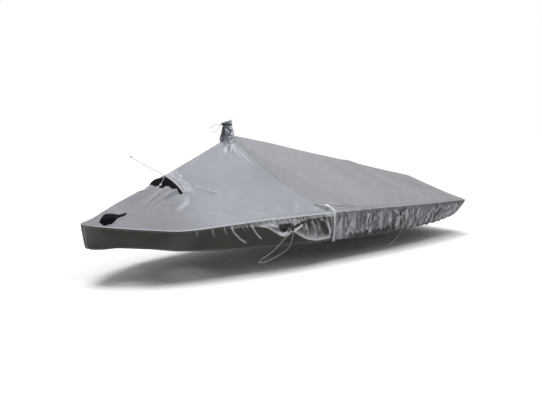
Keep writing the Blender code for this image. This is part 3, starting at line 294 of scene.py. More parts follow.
AFT_SKIRT_CRUMPLES = (
    (71, 130, (2.72, 5.42), (0.010, 0.12), (0.08, 0.20), (0.005, 0.012), (0.008, 0.015),
     (1.35, 2.05)),
    (77, 190, (2.72, 5.42), (0.020, 0.22), (0.03, 0.09), (0.005, 0.010), (0.005, 0.008),
     (1.25, 2.15)),
    (73, 90, (2.72, 5.42), (0.004, 0.04), (0.03, 0.08), (0.002, 0.005), (0.005, 0.009),
     (1.2, 2.0)),
    (79, 80, (2.75, 5.42), (0.20, 0.27), (0.03, 0.08), (0.003, 0.007), (0.007, 0.012),
     (1.3, 1.9)),
)
TRANSOM_CRUMPLES = (
    (83, 70, (-2.85, 2.85), (0.02, 0.30), (0.30, 0.70), (0.003, 0.008), (0.009, 0.016),
     (1.40, 1.74)),
)
COLLAR_CRUMPLES = (
    (91, 34, (0.0, 6.28), (0.05, 0.30), (0.15, 0.35), (0.002, 0.005), (0.004, 0.007), (0.6, 1.9)),
    (95, 44, (0.0, 6.28), (0.22, 0.84), (0.20, 0.45), (0.003, 0.006), (0.003, 0.005),
     (-0.9, 0.9)),
    (93, 14, (0.0, 6.28), (2.2, 2.9), (0.2, 0.5), (0.001, 0.003), (0.004, 0.007), (-1.3, 1.3)),
)
HOOD_CRUMPLES = (
    (97, 60, (0.12, 0.95), (0.03, 0.35), (0.05, 0.25), (0.001, 0.0028), (0.006, 0.012),
     (-0.4, 0.9)),
)
# part of a small fold that fades in, part that fades out, how far it bends and how many are raised
CRUMPLE_FADES = (0.25, 0.4)
CRUMPLE_BEND = 0.25
RAISED_SHARE = 0.6
WAVES = 7
SMOOTHING_PASSES = 160

# ---------------------------------------------------------------- cords, as in the part
CORD_DIAMETER = 0.005
LINE_DIAMETER = 0.004
# each knot's radius, and the radius of the cord that it is tied in
KNOT_RADIUS = 0.011
KNOT_CORD = 0.0026
END_RADIUS = 0.009
END_CORD = 0.0024
COLLAR_KNOT_RADIUS = 0.010
COLLAR_KNOT_CORD = 0.0023
VENT_KNOT_RADIUS = 0.012
VENT_TOGGLE_RADIUS = VENT_KNOT_RADIUS + 0.003
VENT_TOGGLE_CORD = 0.0042
WINDING_RADIUS = 0.0038
WINDING_HALF = 0.0085
FIRST_TIE_END = (1.583, 0.835, -0.372)
# (taut, points)
FIRST_TIE_ROUTES = (
    (True, ((1.962, 0.900, -0.088), (1.87, 0.893, -0.166), (1.77, 0.880, -0.248),
            (1.68, 0.860, -0.308), (1.612, 0.842, -0.345))),
    (True, ((1.996, 0.910, -0.115), (1.982, 0.902, -0.190), (1.955, 0.885, -0.262),
            (1.875, 0.870, -0.312), (1.75, 0.855, -0.356), (1.630, 0.840, -0.384))),
)
SECOND_TIE_END = (3.66, 0.860, -0.468)
SECOND_TIE_ROUTES = (
    (True, ((3.848, 0.952, -0.150), (3.852, 0.945, -0.225), (3.840, 0.925, -0.315),
            (3.765, 0.895, -0.405), (3.690, 0.870, -0.455))),
    (False, ((3.875, 0.962, -0.062), (3.925, 0.965, -0.052), (3.965, 0.962, -0.085),
             (3.995, 0.958, -0.150))),
)
COLLAR_END_ROUTES = (
    ((1.708, 0.063, 1.066), (1.692, 0.080, 1.080), (1.667, 0.101, 1.062),
     (1.627, 0.135, 1.031)),
    ((1.722, 0.064, 1.046), (1.706, 0.078, 1.018), (1.676, 0.098, 0.990),
     (1.640, 0.124, 0.994)),
)
LIFT_LINE_END = (0.550, 0.0, 0.748)
VENT_TOGGLE = (0.886, -0.012, 0.437)
VENT_TAIL = ((0.861, -0.0200, 0.4228), (0.850, -0.0245, 0.4165), (0.836, -0.0310, 0.4082),
             (0.822, -0.0380, 0.3997))
TIE_KNOTS = ((2.0062, 0.9094, -0.0659), (3.8401, 0.9414, -0.0705))
COLLAR_KNOT = (1.7237, 0.0295, 1.076)

# ---------------------------------------------------------------- weave and stitching
WEAVE_PITCH = 0.0011
WEAVE_DEPTH = 0.00012
STITCH_PITCH = 0.0042
STITCH_SHARE = 0.68
STITCH_DEPTH = 0.0004
STITCH_HALF_WIDTH = 0.0007
# distances from the sewn border: the rows of stitches, and where the hem starts and ends
STITCH_ROWS = (0.006, 0.014)
HEM_START = (0.0005, 0.002)
HEM_END = (0.0205, 0.018)
HEM_DEPTH = 0.0008
GRAIN_DEPTH = 0.0003
CRINKLE_DEPTH = 0.0016
RIB_PITCH = 0.0016
RIB_DEPTH = 0.0004
STRAND_PITCH = 0.0022
STRAND_DEPTH = 0.0005

# ---------------------------------------------------------------- webbing, as in the part
ALONG_COVER = np.array([1.0, 0.0, 0.0])
STRAP_WIDTH = 0.042
STRAP_THICK = 0.0018
# middle of the strap's outer face, port side: (station, distance from centre line, height)
STRAP_ROUTE = ((2.6000, 0.8053, 0.1515), (2.6180, 0.8417, 0.1326), (2.6360, 0.8698, 0.1128),
               (2.6480, 0.8929, 0.0896), (2.6530, 0.9055, 0.0669), (2.6551, 0.9055, 0.0393),
               (2.6633, 0.9021, -0.0163), (2.6687, 0.8970, -0.0816), (2.6691, 0.8904, -0.1470),
               (2.6674, 0.8834, -0.2057), (2.6657, 0.8781, -0.2449), (2.6698, 0.8768, -0.2810))
TAB_WIDTH = 0.030
TAB_THICK = 0.0028
# (top of the tab's outer face, its foot), port side
TABS = (((2.0064, 0.8958, -0.0182), (2.0061, 0.8987, -0.0801)),
        ((3.8401, 0.9322, -0.0217), (3.8401, 0.9295, -0.0837)))
# (station, drop) of the cloth that each tab holds flat
TIE_DOWNS = ((2.006, 0.115), (3.840, 0.085))

# ---------------------------------------------------------------- camera and studio
CAMERA_PLACE = (-4.2764, -5.8488, 0.1969)
CAMERA_HEADING = math.radians(40.20)
CAMERA_PITCH = math.radians(7.353)
CAMERA_LENS = 41.19
FLOOR_HEIGHT = -1.46
FLOOR_HALF_SIZE = 60.0
SUN_STRENGTH = 2.0
KEY_POWER = 150.0
KEY_PLACE = (1.0, -2.4, 4.4)
ROOM_DIM = (0.46, 0.47, 0.49)
ROOM_BRIGHT = (1.0, 1.0, 1.0)


# ---------------------------------------------------------------- small mathematics
def smooth(x, rows, index):
    """Cubic curve through a table's column, with no overshoot between its rows."""
    xs = np.array([row[0] for row in rows], float)
    ys = np.array([row[index] for row in rows], float)
    step = np.diff(xs)
    slope = np.diff(ys) / step
    tangent = np.zeros(len(xs))
    tangent[0], tangent[-1] = slope[0], slope[-1]
    for i in range(1, len(xs) - 1):
        if slope[i - 1] * slope[i] > 0:
            w1 = 2 * step[i] + step[i - 1]
            w2 = step[i] + 2 * step[i - 1]
            tangent[i] = (w1 + w2) / (w1 / slope[i - 1] + w2 / slope[i])
    x = np.clip(x, xs[0], xs[-1])
    i = np.clip(np.searchsorted(xs, x, side="right") - 1, 0, len(xs) - 2)
    t = (x - xs[i]) / step[i]
    return ((1 + 2 * t) * (1 - t) ** 2 * ys[i] + t * (1 - t) ** 2 * step[i] * tangent[i]
            + t * t * (3 - 2 * t) * ys[i + 1] + t * t * (t - 1) * step[i] * tangent[i + 1])


def ease(x, low, high):
    t = np.clip((x - low) / (high - low), 0.0, 1.0)
    return t * t * (3 - 2 * t)


def hump(x, width, power=2):
    """1 where x is 0, fading out over the width."""
    return np.exp(-(x / width) ** power)


def grid(columns, rows):
    return np.meshgrid(columns, rows, indexing="ij")


def vectors(x, y, z):
    return np.stack(np.broadcast_arrays(x, y, z), axis=-1).astype(float)


def place(station, across, height):
    return vectors(np.asarray(station) - MAST_STATION, across, np.asarray(height) - PEAK_HEIGHT)


def unit(v):
    return v / np.maximum(np.linalg.norm(v, axis=-1, keepdims=True), 1e-12)


def normals(points, facing):
    """Outward normals of a grid of points (columns, rows, 3)."""
    along = np.gradient(points, axis=0)
    across = np.gradient(points, axis=1)
    return unit(np.cross(along, across)) * facing


# ---------------------------------------------------------------- forms of the panels
def edge(side, station):
    return place(station, side * smooth(station, SECTIONS, 1), smooth(station, SECTIONS, 2))


def fore_ridge(station):
    return place(station, 0.0, smooth(station, FORE_RIDGE, 1))


def aft_ridge(station):
    return place(station, 0.0, smooth(station, AFT_RIDGE, 1))


def collar_foot(side, turn):
    rise = (COLLAR_BASE_AFT - COLLAR_BASE_FORE) * (1 - np.cos(turn)) / 2
    height = COLLAR_BASE_FORE + rise - COLLAR_SIDE_DIP * np.sin(turn) ** 2
    return place(MAST_STATION - COLLAR_BASE_RADIUS * np.cos(turn),
                 side * COLLAR_BASE_RADIUS * np.sin(turn), height)


def top_points(side, inner, outer, share, sag, pleat):
    """Cloth that sags from its inner line, where pleats start, to its rolled outer line."""
    run = outer - inner
    length = np.linalg.norm(run, axis=-1)
    under_strap = hump(outer[..., 0] + MAST_STATION - SHROUD_STATION, 0.06, 4)
    roll = (0.004 + 0.006 * under_strap) * ease(length, 0.10, 0.45)
    roll = roll * hump(share - 0.95, 0.035)
    fade = np.exp(-share * length / 0.16) * (1 - np.exp(-share * length / 0.015))
    drop = -sag * np.sin(np.pi * share) ** 1.3
    lift = vectors(0.0, side * (0.6 * roll + 0.5 * pleat * fade), drop + roll + pleat * fade)
    return inner + run * share[..., None] + lift


def lip_wave(station, share):
    """The port lip is uneven, and its waves die out ahead of it."""
    ahead = np.clip(VENT_LIP_STATION - station, 0.0, None)
    near = (station < VENT_LIP_STATION + 0.05) & (share < VENT_SIDE)
    return smooth(share, VENT_LIP_WAVE, 1) * hump(ahead, 0.10, 1.5) * near


def vent_lift(side, station, share):
    """The cloth round the vent's starboard end stands higher than the ruled panel."""
    across = ease(share, 0.0, 0.30) * (1 - ease(share, VENT_SIDE, 0.67))
    along = ease(station, 0.62, 0.83) * (1 - ease(station, 0.95, 1.12))
    return VENT_ENDS[side][2] * across * along


def fore_points(side, station, share):
    """Points of a fore panel; station and share are arrays of one shape."""
    ridge = station / EDGE_PER_RIDGE
    on_ridge = station <= FAN_START + 1e-9
    curve = VENT_ENDS[side][0] * np.where(share <= VENT_SIDE, (share / VENT_SIDE) ** 2,
                                          (1 - share) / (1 - VENT_SIDE))
    near_lip = np.interp(ridge, (0.79, VENT_LIP_STATION, 0.975), (0, 1, 0))
    shift = curve * near_lip * on_ridge
    turned = np.clip((station - FAN_START) / (SHROUD_STATION - FAN_START), 0, 1)
    mask = on_ridge[..., None]
    inner = np.where(mask, fore_ridge(ridge + shift), collar_foot(side, SEAM_TURN * turned))
    outer = edge(side, station + shift * EDGE_PER_RIDGE)
    sag = np.where(on_ridge, 0.018 * ease(ridge, 0.1, 0.7) + 0.012 * ease(ridge, 1.2, 1.7),
                   0.030 + (SEAM_SAG - 0.030) * turned ** 1.5)
    pleat = np.where(on_ridge, 0.0, 0.0012 * np.sin(turned * 5 * np.pi))
    points = top_points(side, inner, outer, share, sag, pleat)
    across = np.cos(np.pi * np.clip(share, 0, VENT_SIDE) / (2 * VENT_SIDE)) ** 2
    hang = VENT_LIP_SAG * across * ease(ridge, 0.60, VENT_LIP_STATION)
    rise = vent_lift(side, ridge + shift, share) - np.where(
        ridge < VENT_LIP_STATION + 0.05, hang, 0.0)
    if side < 0:
        rise = rise + lip_wave(ridge, share)
    points[..., 2] += rise * on_ridge
    return points


def bow_share(ridge, share):
    """Port rows part round the bow opening."""
    fade = ease(ridge, 0.03, BOW_OPENING[0][0]) * (1 - ease(ridge, BOW_OPENING[-1][0], 0.62))
    upper = smooth(ridge, BOW_OPENING, 1)
    lower = smooth(ridge, BOW_OPENING, 2)
    above = share * upper / BOW_UPPER_SHARE
    between = upper + (lower - upper) * (share - BOW_UPPER_SHARE) / (
        BOW_LOWER_SHARE - BOW_UPPER_SHARE)
    below = lower + (1 - lower) * (share - BOW_LOWER_SHARE) / (1 - BOW_LOWER_SHARE)
    parted = np.where(share <= BOW_UPPER_SHARE, above,
                      np.where(share <= BOW_LOWER_SHARE, between, below))
    return share + (parted - share) * fade


def aft_points(side, station, share):
    """Points of an aft panel up to the transom's corner."""
    turned = np.clip((station - SHROUD_STATION) / (FAN_END - SHROUD_STATION), 0, 1)
    on_collar = station <= FAN_END + 1e-9
    ridge = 1.87 + (BOOM_END_STATION - 1.87) * np.clip(
        (station - FAN_END) / (COVER_LENGTH - FAN_END), 0, 1)
    inner = np.where(on_collar[..., None],
                     collar_foot(side, SEAM_TURN + (np.pi - SEAM_TURN) * turned),
                     aft_ridge(ridge))
    sag = np.where(on_collar, SEAM_SAG + (0.045 - SEAM_SAG) * turned,
                   0.045 - 0.010 * ease(ridge, 2.0, 3.5) - 0.022 * ease(ridge, 4.3, 5.18))
    pleat = np.where(on_collar, 0.006 * np.sin(turned * 3 * np.pi), 0.0)
    return top_points(side, inner, edge(side, station), share, sag, pleat)


def transom_edge(side, across):
    corner = edge(side, COVER_LENGTH)
    crown = 0.020 * np.cos(np.pi * across / 2)
    return vectors(corner[0] + crown, corner[1] * across, corner[2] + crown)


def end_points(side, across, share):
    """Points of the folded end; across runs from 1 at the corner to 0 in the middle."""
    inner = np.broadcast_to(aft_ridge(BOOM_END_STATION), share.shape + (3,))
    return top_points(side, inner, transom_edge(side, across), share, 0.008, 0.0)


def outward(side, station):
    """Level unit vectors that point off the deck edge."""
    step = 0.004
    run = edge(side, station + step) - edge(side, station - step)
    sign = np.where(station < 0.5 * COVER_LENGTH, -1.0, 1.0)
    normal = vectors(sign * np.abs(run[..., 1]), side * np.abs(run[..., 0]), 0.0)
    normal = np.where((station < 1e-6)[..., None], np.array([-1.0, 0.0, 0.0]), normal)
    return unit(normal)


def swag(station, drop):
    """How far the swag stands out: up to its fold, then quickly back."""
    fold = smooth(station, SWAG, 1)
    reach = smooth(station, SWAG, 2) * (station > SWAG[0][0]) * (station < SWAG[-1][0])
    return reach * np.where(drop <= fold, drop / fold, hump(drop - fold, 0.045))


def gathers(station, share):
    """How far the aft skirt's upright folds stand out."""
    lean = 0.26 * share * ease(station, 3.7, 5.2)
    run = station + lean - SHROUD_STATION
    wave = np.zeros(share.shape)
    start = 0.0
    for pitch, height in GATHERS:
        phase = np.clip((run - start) / pitch, 0, 1)
        wave = np.where((run >= start) & (run < start + pitch),
                        height * np.sin(np.pi * phase) ** 1.5, wave)
        start += pitch
    ends = ease(station, SHROUD_STATION, 2.75) * (1 - ease(station, 5.40, COVER_LENGTH))
    body = 0.25 + 0.75 * np.sin(np.pi * np.minimum(share * 0.62, 0.5))
    return wave * ends * body * ease(share, 0.0, 0.22)


def skirt_points(side, station, share):
    drop = smooth(station, SECTIONS, 3) * share
    inset = smooth(station, SECTIONS, 4) * share ** 1.25
    tuck = 0.018 * ease(share, 0.82, 1.0) * ease(station, 2.65, 3.1)
    slot = 1 - hump(station - SHROUD_STATION, 0.06)
    swell = slot * (gathers(station, share) + swag(station, drop))
    swell = swell + 0.004 * np.sin(7.0 * station + 1.0) * share * slot * ease(station, 0.0, 0.3)
    hem = 0.006 * np.sin(31.0 * station) * slot * ease(station, 2.8, 3.2) * ease(share, 0.8, 1.0)
    hem = hem * (1 - ease(station, 5.3, COVER_LENGTH))
    points = edge(side, station) + outward(side, station) * (swell - inset - tuck)[..., None]
    points[..., 2] += hem - drop
    return points


def transom_points(across, share):
    side = np.where(across < 0, -1.0, 1.0)
    last = np.full(share.shape, COVER_LENGTH)
    corner = skirt_points(1, last, share)
    middle = np.cos(np.pi * across / 2)
    swell = 0.010 * np.sin(7 * np.pi * across + 0.7) * np.sin(np.pi * share * 0.6) * middle
    top = transom_edge(1, np.abs(across))
    rise = top[..., 2] - edge(1, last)[..., 2]
    return vectors(corner[..., 0] + 0.020 * middle + swell - 0.03 * middle * share ** 2,
                   side * corner[..., 1] * np.abs(across),
                   corner[..., 2] + rise - 0.045 * middle * share)


# ---------------------------------------------------------------- relief
def ridge_along(points, line, height, half_width, fade_in, fade_out):
    """Height field of one soft fold along a polyline."""
    field = np.zeros(points.shape[:-1])
    low, high = line.min(axis=0) - 3 * half_width, line.max(axis=0) + 3 * half_width
    near = ((points > low) & (points < high)).all(axis=-1)
    some = points[near]
    distance, position = np.full(len(some), np.inf), np.zeros(len(some))
    for k, (start, end) in enumerate(zip(line, line[1:])):
        run = end - start
        t = np.clip(((some - start) @ run) / max(run @ run, 1e-12), 0, 1)
        away = np.linalg.norm(some - start - t[:, None] * run, axis=1)
        closer = away < distance
        distance = np.where(closer, away, distance)
        position = np.where(closer, (k + t) / (len(line) - 1), position)
    strength = ease(position, 0, max(fade_in, 0.01)) * (1 - ease(position, 1 - fade_out, 1.001))
    field[near] = height * strength * hump(distance, half_width)
    return field


def relief(points, creases, surface):
    """Sum of the folds whose routes lie on a surface function of (station, share)."""
    field = np.zeros(points.shape[:-1])
    for height, half_width, fade_in, fade_out, route in creases:
        route = np.array(route, float)
        marks = np.linspace(0, len(route) - 1, 4 * (len(route) - 1) + 1)
        station, share = (np.interp(marks, range(len(route)), column) for column in route.T)
        line = surface(station, share)
        field += ridge_along(points, line, height, half_width, fade_in, fade_out)
    return field


def crumples(seed, count, station, share, length, height, half_width, lean=(0, 2 * math.pi)):
    """Small folds at seeded random places; lean is their (station, share) direction range."""
    random = np.random.default_rng(seed)
    rows = []
    for _ in range(count):
        start = np.array([random.uniform(*station), random.uniform(*share)])
        angle = random.uniform(*lean)
        reach = random.uniform(*length)
        bend = random.uniform(-CRUMPLE_BEND, CRUMPLE_BEND) * reach
        run = np.array([math.cos(angle), math.sin(angle)])
        middle = start + run * reach / 2 + np.array([-run[1], run[0]]) * bend
        sign = 1 if random.random() < RAISED_SHARE else -1
        rows.append((sign * random.uniform(*height), random.uniform(*half_width), *CRUMPLE_FADES,
                     (start, middle, start + run * reach)))
    return rows


def folds(side, creases, ranges):
    """Creases given one by one, then the small ones that each seeded range gives this side."""
    rows = list(creases)
    for seed, *limits in ranges:
        rows += crumples(seed + side, *limits)
    return rows


def undulation(points, seed, size, height):
    """Broad, low unevenness of cloth that is pulled tight."""
    random = np.random.default_rng(seed)
    field = np.zeros(points.shape[:-1])
    for _ in range(WAVES):
        direction = unit(random.normal(size=3))
        pitch = size * random.uniform(0.6, 1.6)
        field += np.sin(2 * np.pi * (points @ direction) / pitch + random.uniform(0, 6.3))
    return field * height / math.sqrt(WAVES)


def quiet(station, drop):
    """0 under the strap and the tabs, 1 elsewhere, so that the cloth lies flat below them."""
    calm = 1 - hump(station - STRAP_STATION, 0.036, 4)
    for middle, depth in TIE_DOWNS:
        calm = calm * (1 - hump(station - middle, 0.022, 4) * hump(drop - depth, 0.042, 4))
    return calm


def raised(points, facing, field):
    """Move points along their normals, less towards the grid's border."""
    counts = [np.arange(count) for count in points.shape[:2]]
    across, down = (ease(np.minimum(count, count[::-1]), 0, 2) for count in counts)
    return points + normals(points, facing) * (field * (across[:, None] * down))[..., None]


def edge_highlight(points):
    """Colour field of a painted highlight: a pale line along the outermost row of a top panel."""
    return 0.018 * hump(np.linalg.norm(points - points[:, -1:], axis=2), 0.011)


# ---------------------------------------------------------------- meshes
def run_length(line):
    return np.concatenate([[0.0], np.cumsum(np.linalg.norm(np.diff(line, axis=0), axis=1))])


def metric_uv(points):
    """Lengths along the grid's middle row and down its columns, in metres."""
    along = run_length(points[:, points.shape[1] // 2])
    steps = np.linalg.norm(np.diff(points, axis=1), axis=2)
    down = np.concatenate([np.zeros((len(points), 1)), np.cumsum(steps, axis=1)], axis=1)
    return np.stack([np.broadcast_to(along[:, None], down.shape), down], axis=-1)


def seam_uv(points, sides):
    """(length along, distance from) the nearest sewn border: first, last, top or bottom."""
    best = np.full(points.shape[:2], 9.0)
    along = np.zeros(points.shape[:2])
    for side in sides:
        turned = side in ("top", "bottom")
        lines = points.swapaxes(0, 1) if turned else points
        border = lines[0 if side in ("first", "top") else -1]
        away = np.linalg.norm(lines - border, axis=2)
        reach = np.broadcast_to(run_length(border), away.shape)
        if turned:
            away, reach = away.T, reach.T
        closer = away < best
        best = np.where(closer, away, best)
        along = np.where(closer, reach, along)
    return np.stack([along, best], axis=-1)


def drawn_in(points, gaps):
    """Move the border inward by (first, last, top, bottom)."""
    points = points.copy()
    turned = points.swapaxes(0, 1)
    for lines, near, far in ((points, *gaps[:2]), (turned, *gaps[2:])):
        for here, there, gap in ((0, 1, near), (-1, -2, far)):
            lines[here] += unit(lines[there] - lines[here]) * gap
    return points


def add_piece(made, finishes, nodes):
    for finish in finishes:
        made.data.materials.append(finish)
    bpy.context.scene.collection.objects.link(made)
    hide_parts(*nodes)
    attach(made, "root")
    return made


def cloth(name, grids, finishes, nodes, thickness=CLOTH):
    """One sheet from grids of (points, facing, holes, fold field, sewn borders)."""
    coords, faces, uv_weave, uv_seam, fields = [], [], [], [], []
    base = 0
    for points, facing, holes, field, sewn in grids:
        columns, rows = points.shape[:2]
        index = base + np.arange(columns * rows).reshape(columns, rows)
        quads = np.stack([index[:-1, :-1], index[1:, :-1], index[1:, 1:], index[:-1, 1:]], axis=-1)
        if facing < 0:
            quads = quads[..., ::-1]
        faces.append(quads.reshape(-1, 4) if holes is None else quads[~holes])
        coords.append(points.reshape(-1, 3))
        uv_weave.append(metric_uv(points).reshape(-1, 2))
        uv_seam.append(seam_uv(points, sewn).reshape(-1, 2))
        fields.append(np.asarray(field, float).reshape(-1))
        base += columns * rows
    faces = np.concatenate(faces)
    mesh = bpy.data.meshes.new(name)
    mesh.from_pydata(np.concatenate(coords).tolist(), [], faces.tolist())
    for layer_name, values in (("weave", uv_weave), ("seam", uv_seam)):
        layer = mesh.uv_layers.new(name=layer_name)
        values = np.concatenate(values)[faces.reshape(-1)]
        layer.data.foreach_set("uv", values.astype(np.float32).reshape(-1))
    # the fold field becomes the colour field: painted highlight on crests, painted shade in
    # hollows, and marks of colour only
    fold = mesh.attributes.new("fold", "FLOAT", "POINT")
    fold.data.foreach_set("value", np.concatenate(fields).astype(np.float32))
    bm = bmesh.new()
    bm.from_mesh(mesh)
    loose = [vert for vert in bm.verts if not vert.link_faces]
    bmesh.ops.delete(bm, geom=loose, context="VERTS")
    bmesh.ops.remove_doubles(bm, verts=bm.verts, dist=2e-5)
    bm.to_mesh(mesh)
    bm.free()
    mesh.shade_smooth()
    made = bpy.data.objects.new(name, mesh)
    solid = made.modifiers.new("thickness", "SOLIDIFY")
    solid.material_offset = 1
    solid.thickness = thickness
    solid.offset = -1.0
    solid.use_even_offset = False
    return add_piece(made, finishes, nodes)


# ---------------------------------------------------------------- materials
def feed(tree, socket, value):
    """Give a socket a link, a colour or a number."""
    if isinstance(value, bpy.types.NodeSocket):
        tree.links.new(value, socket)
    elif socket.type == "RGBA":
        socket.default_value = (*value, 1.0)
    else:
        socket.default_value = value


def node(tree, kind, inputs=(), **settings):
    made = tree.nodes.new(kind)
    for key, value in settings.items():
        setattr(made, key, value)
    for socket, value in dict(inputs).items():
        feed(tree, made.inputs[socket], value)
    return made


def maths(tree, operation, *values):
    return node(tree, "ShaderNodeMath", enumerate(values), operation=operation).outputs[0]


def ramp(tree, source, low, high):
    """0 to 1 as the source goes from low to high."""
    inputs = {"Value": source, "From Min": low, "From Max": high}
    made = node(tree, "ShaderNodeMapRange", inputs, interpolation_type="SMOOTHSTEP")
    return made.outputs["Result"]


def mix(tree, factor, first, second):
    inputs = {0: factor, 6: first, 7: second}
    return node(tree, "ShaderNodeMix", inputs, data_type="RGBA").outputs[2]


def tint(tree, base, mask, strength, colour):
    """Lay a colour over the base where the mask is."""
    return mix(tree, maths(tree, "MULTIPLY", mask, strength), base, colour)


def shaded(colour, share):
    return tuple(value * share for value in colour)


def noise(tree, coordinates, scale, detail=4.0, roughness=0.55):
    inputs = {"Vector": coordinates, "Scale": scale, "Detail": detail, "Roughness": roughness}
    return node(tree, "ShaderNodeTexNoise", inputs).outputs["Fac"]


def axes(tree, vector):
    return node(tree, "ShaderNodeSeparateXYZ", {0: vector}).outputs


def object_position(tree):
    return node(tree, "ShaderNodeTexCoord").outputs["Object"]


def uv_axes(tree, layer):
    return axes(tree, node(tree, "ShaderNodeUVMap", uv_map=layer).outputs[0])


def fold_value(tree):
    return node(tree, "ShaderNodeAttribute", attribute_name="fold").outputs["Fac"]


def thread(tree, coordinate, pitch):
    """Rounded profile of threads with this pitch."""
    turns = maths(tree, "MULTIPLY", coordinate, 2 * math.pi / pitch)
    return maths(tree, "MULTIPLY_ADD", maths(tree, "SINE", turns), 0.5)


def start_material(name, colour, roughness, specular):
    made = bpy.data.materials.new(name)
    made.use_nodes = True
    shader = made.node_tree.nodes["Principled BSDF"]
    shader.inputs["Base Color"].default_value = (*colour, 1.0)
    shader.inputs["Roughness"].default_value = roughness
    shader.inputs["Specular IOR Level"].default_value = specular
    return made, made.node_tree, shader


def dress(tree, shader, colour, height, strength):
    """Link the colour, and the height in metres as a bump."""
    inputs = {"Strength": strength, "Distance": 1.0, "Height": height}
    feed(tree, shader.inputs["Base Color"], colour)
    feed(tree, shader.inputs["Normal"], node(tree, "ShaderNodeBump", inputs).outputs[0])


def stitches(tree, along, away):
    """Mask of the rows of stitches beside a sewn border."""
    turns = maths(tree, "FRACT", maths(tree, "DIVIDE", along, STITCH_PITCH))
    dash = maths(tree, "LESS_THAN", maths(tree, "ABSOLUTE", maths(tree, "SUBTRACT", turns, 0.5)),
                 STITCH_SHARE / 2)
    rows = []
    for row in STITCH_ROWS:
        from_row = maths(tree, "ABSOLUTE", maths(tree, "SUBTRACT", away, row))
        rows.append(maths(tree, "LESS_THAN", from_row, STITCH_HALF_WIDTH))
    return maths(tree, "MULTIPLY", maths(tree, "MAXIMUM", *rows), dash)


def ruffled(tree, position, fold, height):
    """Fold field with fine, nearly upright wrinkles added to it, which exist only as painted
    highlight and shade.
    """
    leaning = node(tree, "ShaderNodeMapping",
                   {"Rotation": (0.0, math.radians(-20.0), 0.0), "Vector": position})
    drawn = node(tree, "ShaderNodeMapping",
                 {"Scale": (46.0, 20.0, 8.0), "Vector": leaning.outputs[0]})
    wrinkle = maths(tree, "SUBTRACT", noise(tree, drawn.outputs[0], 1.0, 3.0, 0.6), 0.5)
    return maths(tree, "ADD", fold, maths(tree, "MULTIPLY", wrinkle, height))


def cloth_material(name, light, dark, wear_and_highlight, roughness, fold_scale, pits=0.55, specular=0.45,
                   shade_along=None, ruffle=None):
    """Coated woven polyester: weave, cloudy colour, pale ridges and sewn borders.

    Colour follows the fold field: crests up to fold_scale take the pale colour of worn
    cloth and painted highlight, pits take painted shade, and slits take near-black painted shadow.
    Painted shade along the cover is given as (lit end, shaded end, strength)."""
    made, tree, shader = start_material(name, light, roughness, specular)
    shader.inputs["Sheen Weight"].default_value = 0.12
    shader.inputs["Sheen Roughness"].default_value = 0.4
    position = object_position(tree)
    cloud = ramp(tree, noise(tree, position, 1.7, 5.0), 0.32, 0.68)
    streak = ramp(tree, noise(tree, position, 9.0, 6.0, 0.6), 0.30, 0.75)
    fine = noise(tree, position, 160.0, 3.0, 0.6)
    base = tint(tree, mix(tree, cloud, dark, light), streak, 0.35, dark)
    # painted shade: the cloth darkens towards one end of the cover
    if shade_along is not None:
        lit_end, shaded_end, strength = shade_along
        shade_ramp = ramp(tree, axes(tree, position)[0], lit_end, shaded_end)
        base = tint(tree, base, shade_ramp, strength, (0.0, 0.0, 0.0))
    fold = fold_value(tree)
    if ruffle is not None:
        fold = ruffled(tree, position, fold, ruffle)
    # fold colour: crests pale as worn cloth with a painted highlight, pits in painted shade,
    # deepest hollows in painted shadow
    for start, end, strength, colour in (
            (0.0, fold_scale, 0.85, wear_and_highlight), (0.0, -fold_scale, pits, shaded(dark, 0.30)),
            (-fold_scale, -1.8 * fold_scale, 0.85, shaded(dark, 0.15))):
        base = tint(tree, base, ramp(tree, fold, start, end), strength, colour)
    warp, weft = uv_axes(tree, "weave")[:2]
    woven = maths(tree, "MULTIPLY", thread(tree, warp, WEAVE_PITCH),
                  thread(tree, weft, WEAVE_PITCH))
    along, away = uv_axes(tree, "seam")[:2]
    sewn = stitches(tree, along, away)
    hem = maths(tree, "MULTIPLY", ramp(tree, away, *HEM_START), ramp(tree, away, *HEM_END))
    base = tint(tree, base, hem, 0.04, wear_and_highlight)
    base = tint(tree, base, sewn, 0.8, tuple(0.75 * a + 0.25 * b for a, b in zip(light, wear_and_highlight)))
    base = tint(tree, base, fine, 0.10, dark)
    feed(tree, shader.inputs["Roughness"],
         maths(tree, "MULTIPLY_ADD", streak, 0.16, roughness - 0.06))
    height = maths(tree, "MULTIPLY_ADD", woven, WEAVE_DEPTH,
                   maths(tree, "MULTIPLY", sewn, STITCH_DEPTH))
    crinkle = noise(tree, position, 26.0, 4.0, 0.6)
    for part, depth in ((hem, HEM_DEPTH), (fine, GRAIN_DEPTH), (crinkle, CRINKLE_DEPTH)):
        height = maths(tree, "ADD", height, maths(tree, "MULTIPLY", part, depth))
    dress(tree, shader, base, height, 0.8)
    return made


def webbing_material(name, colour, shade):
    """Flat woven webbing with ribs across it, dirt in them, and painted shade from its fold field.
    """
    made, tree, shader = start_material(name, colour, 0.6, 0.35)
    along, across = uv_axes(tree, "weave")[:2]
    ribs = thread(tree, along, RIB_PITCH)
    dirt = ramp(tree, noise(tree, object_position(tree), 30.0, 5.0), 0.35, 0.75)
    base = tint(tree, colour, dirt, 0.5, shade)
    # painted shade where the fold field is low
    base = tint(tree, base, ramp(tree, fold_value(tree), 0.0005, -0.003), 0.75, shade)
    base = tint(tree, base, ribs, 0.25, shade)
    woven = maths(tree, "MULTIPLY", ribs, thread(tree, across, STRAND_PITCH))
    dress(tree, shader, base, maths(tree, "MULTIPLY", woven, RIB_DEPTH), 0.9)
    return made


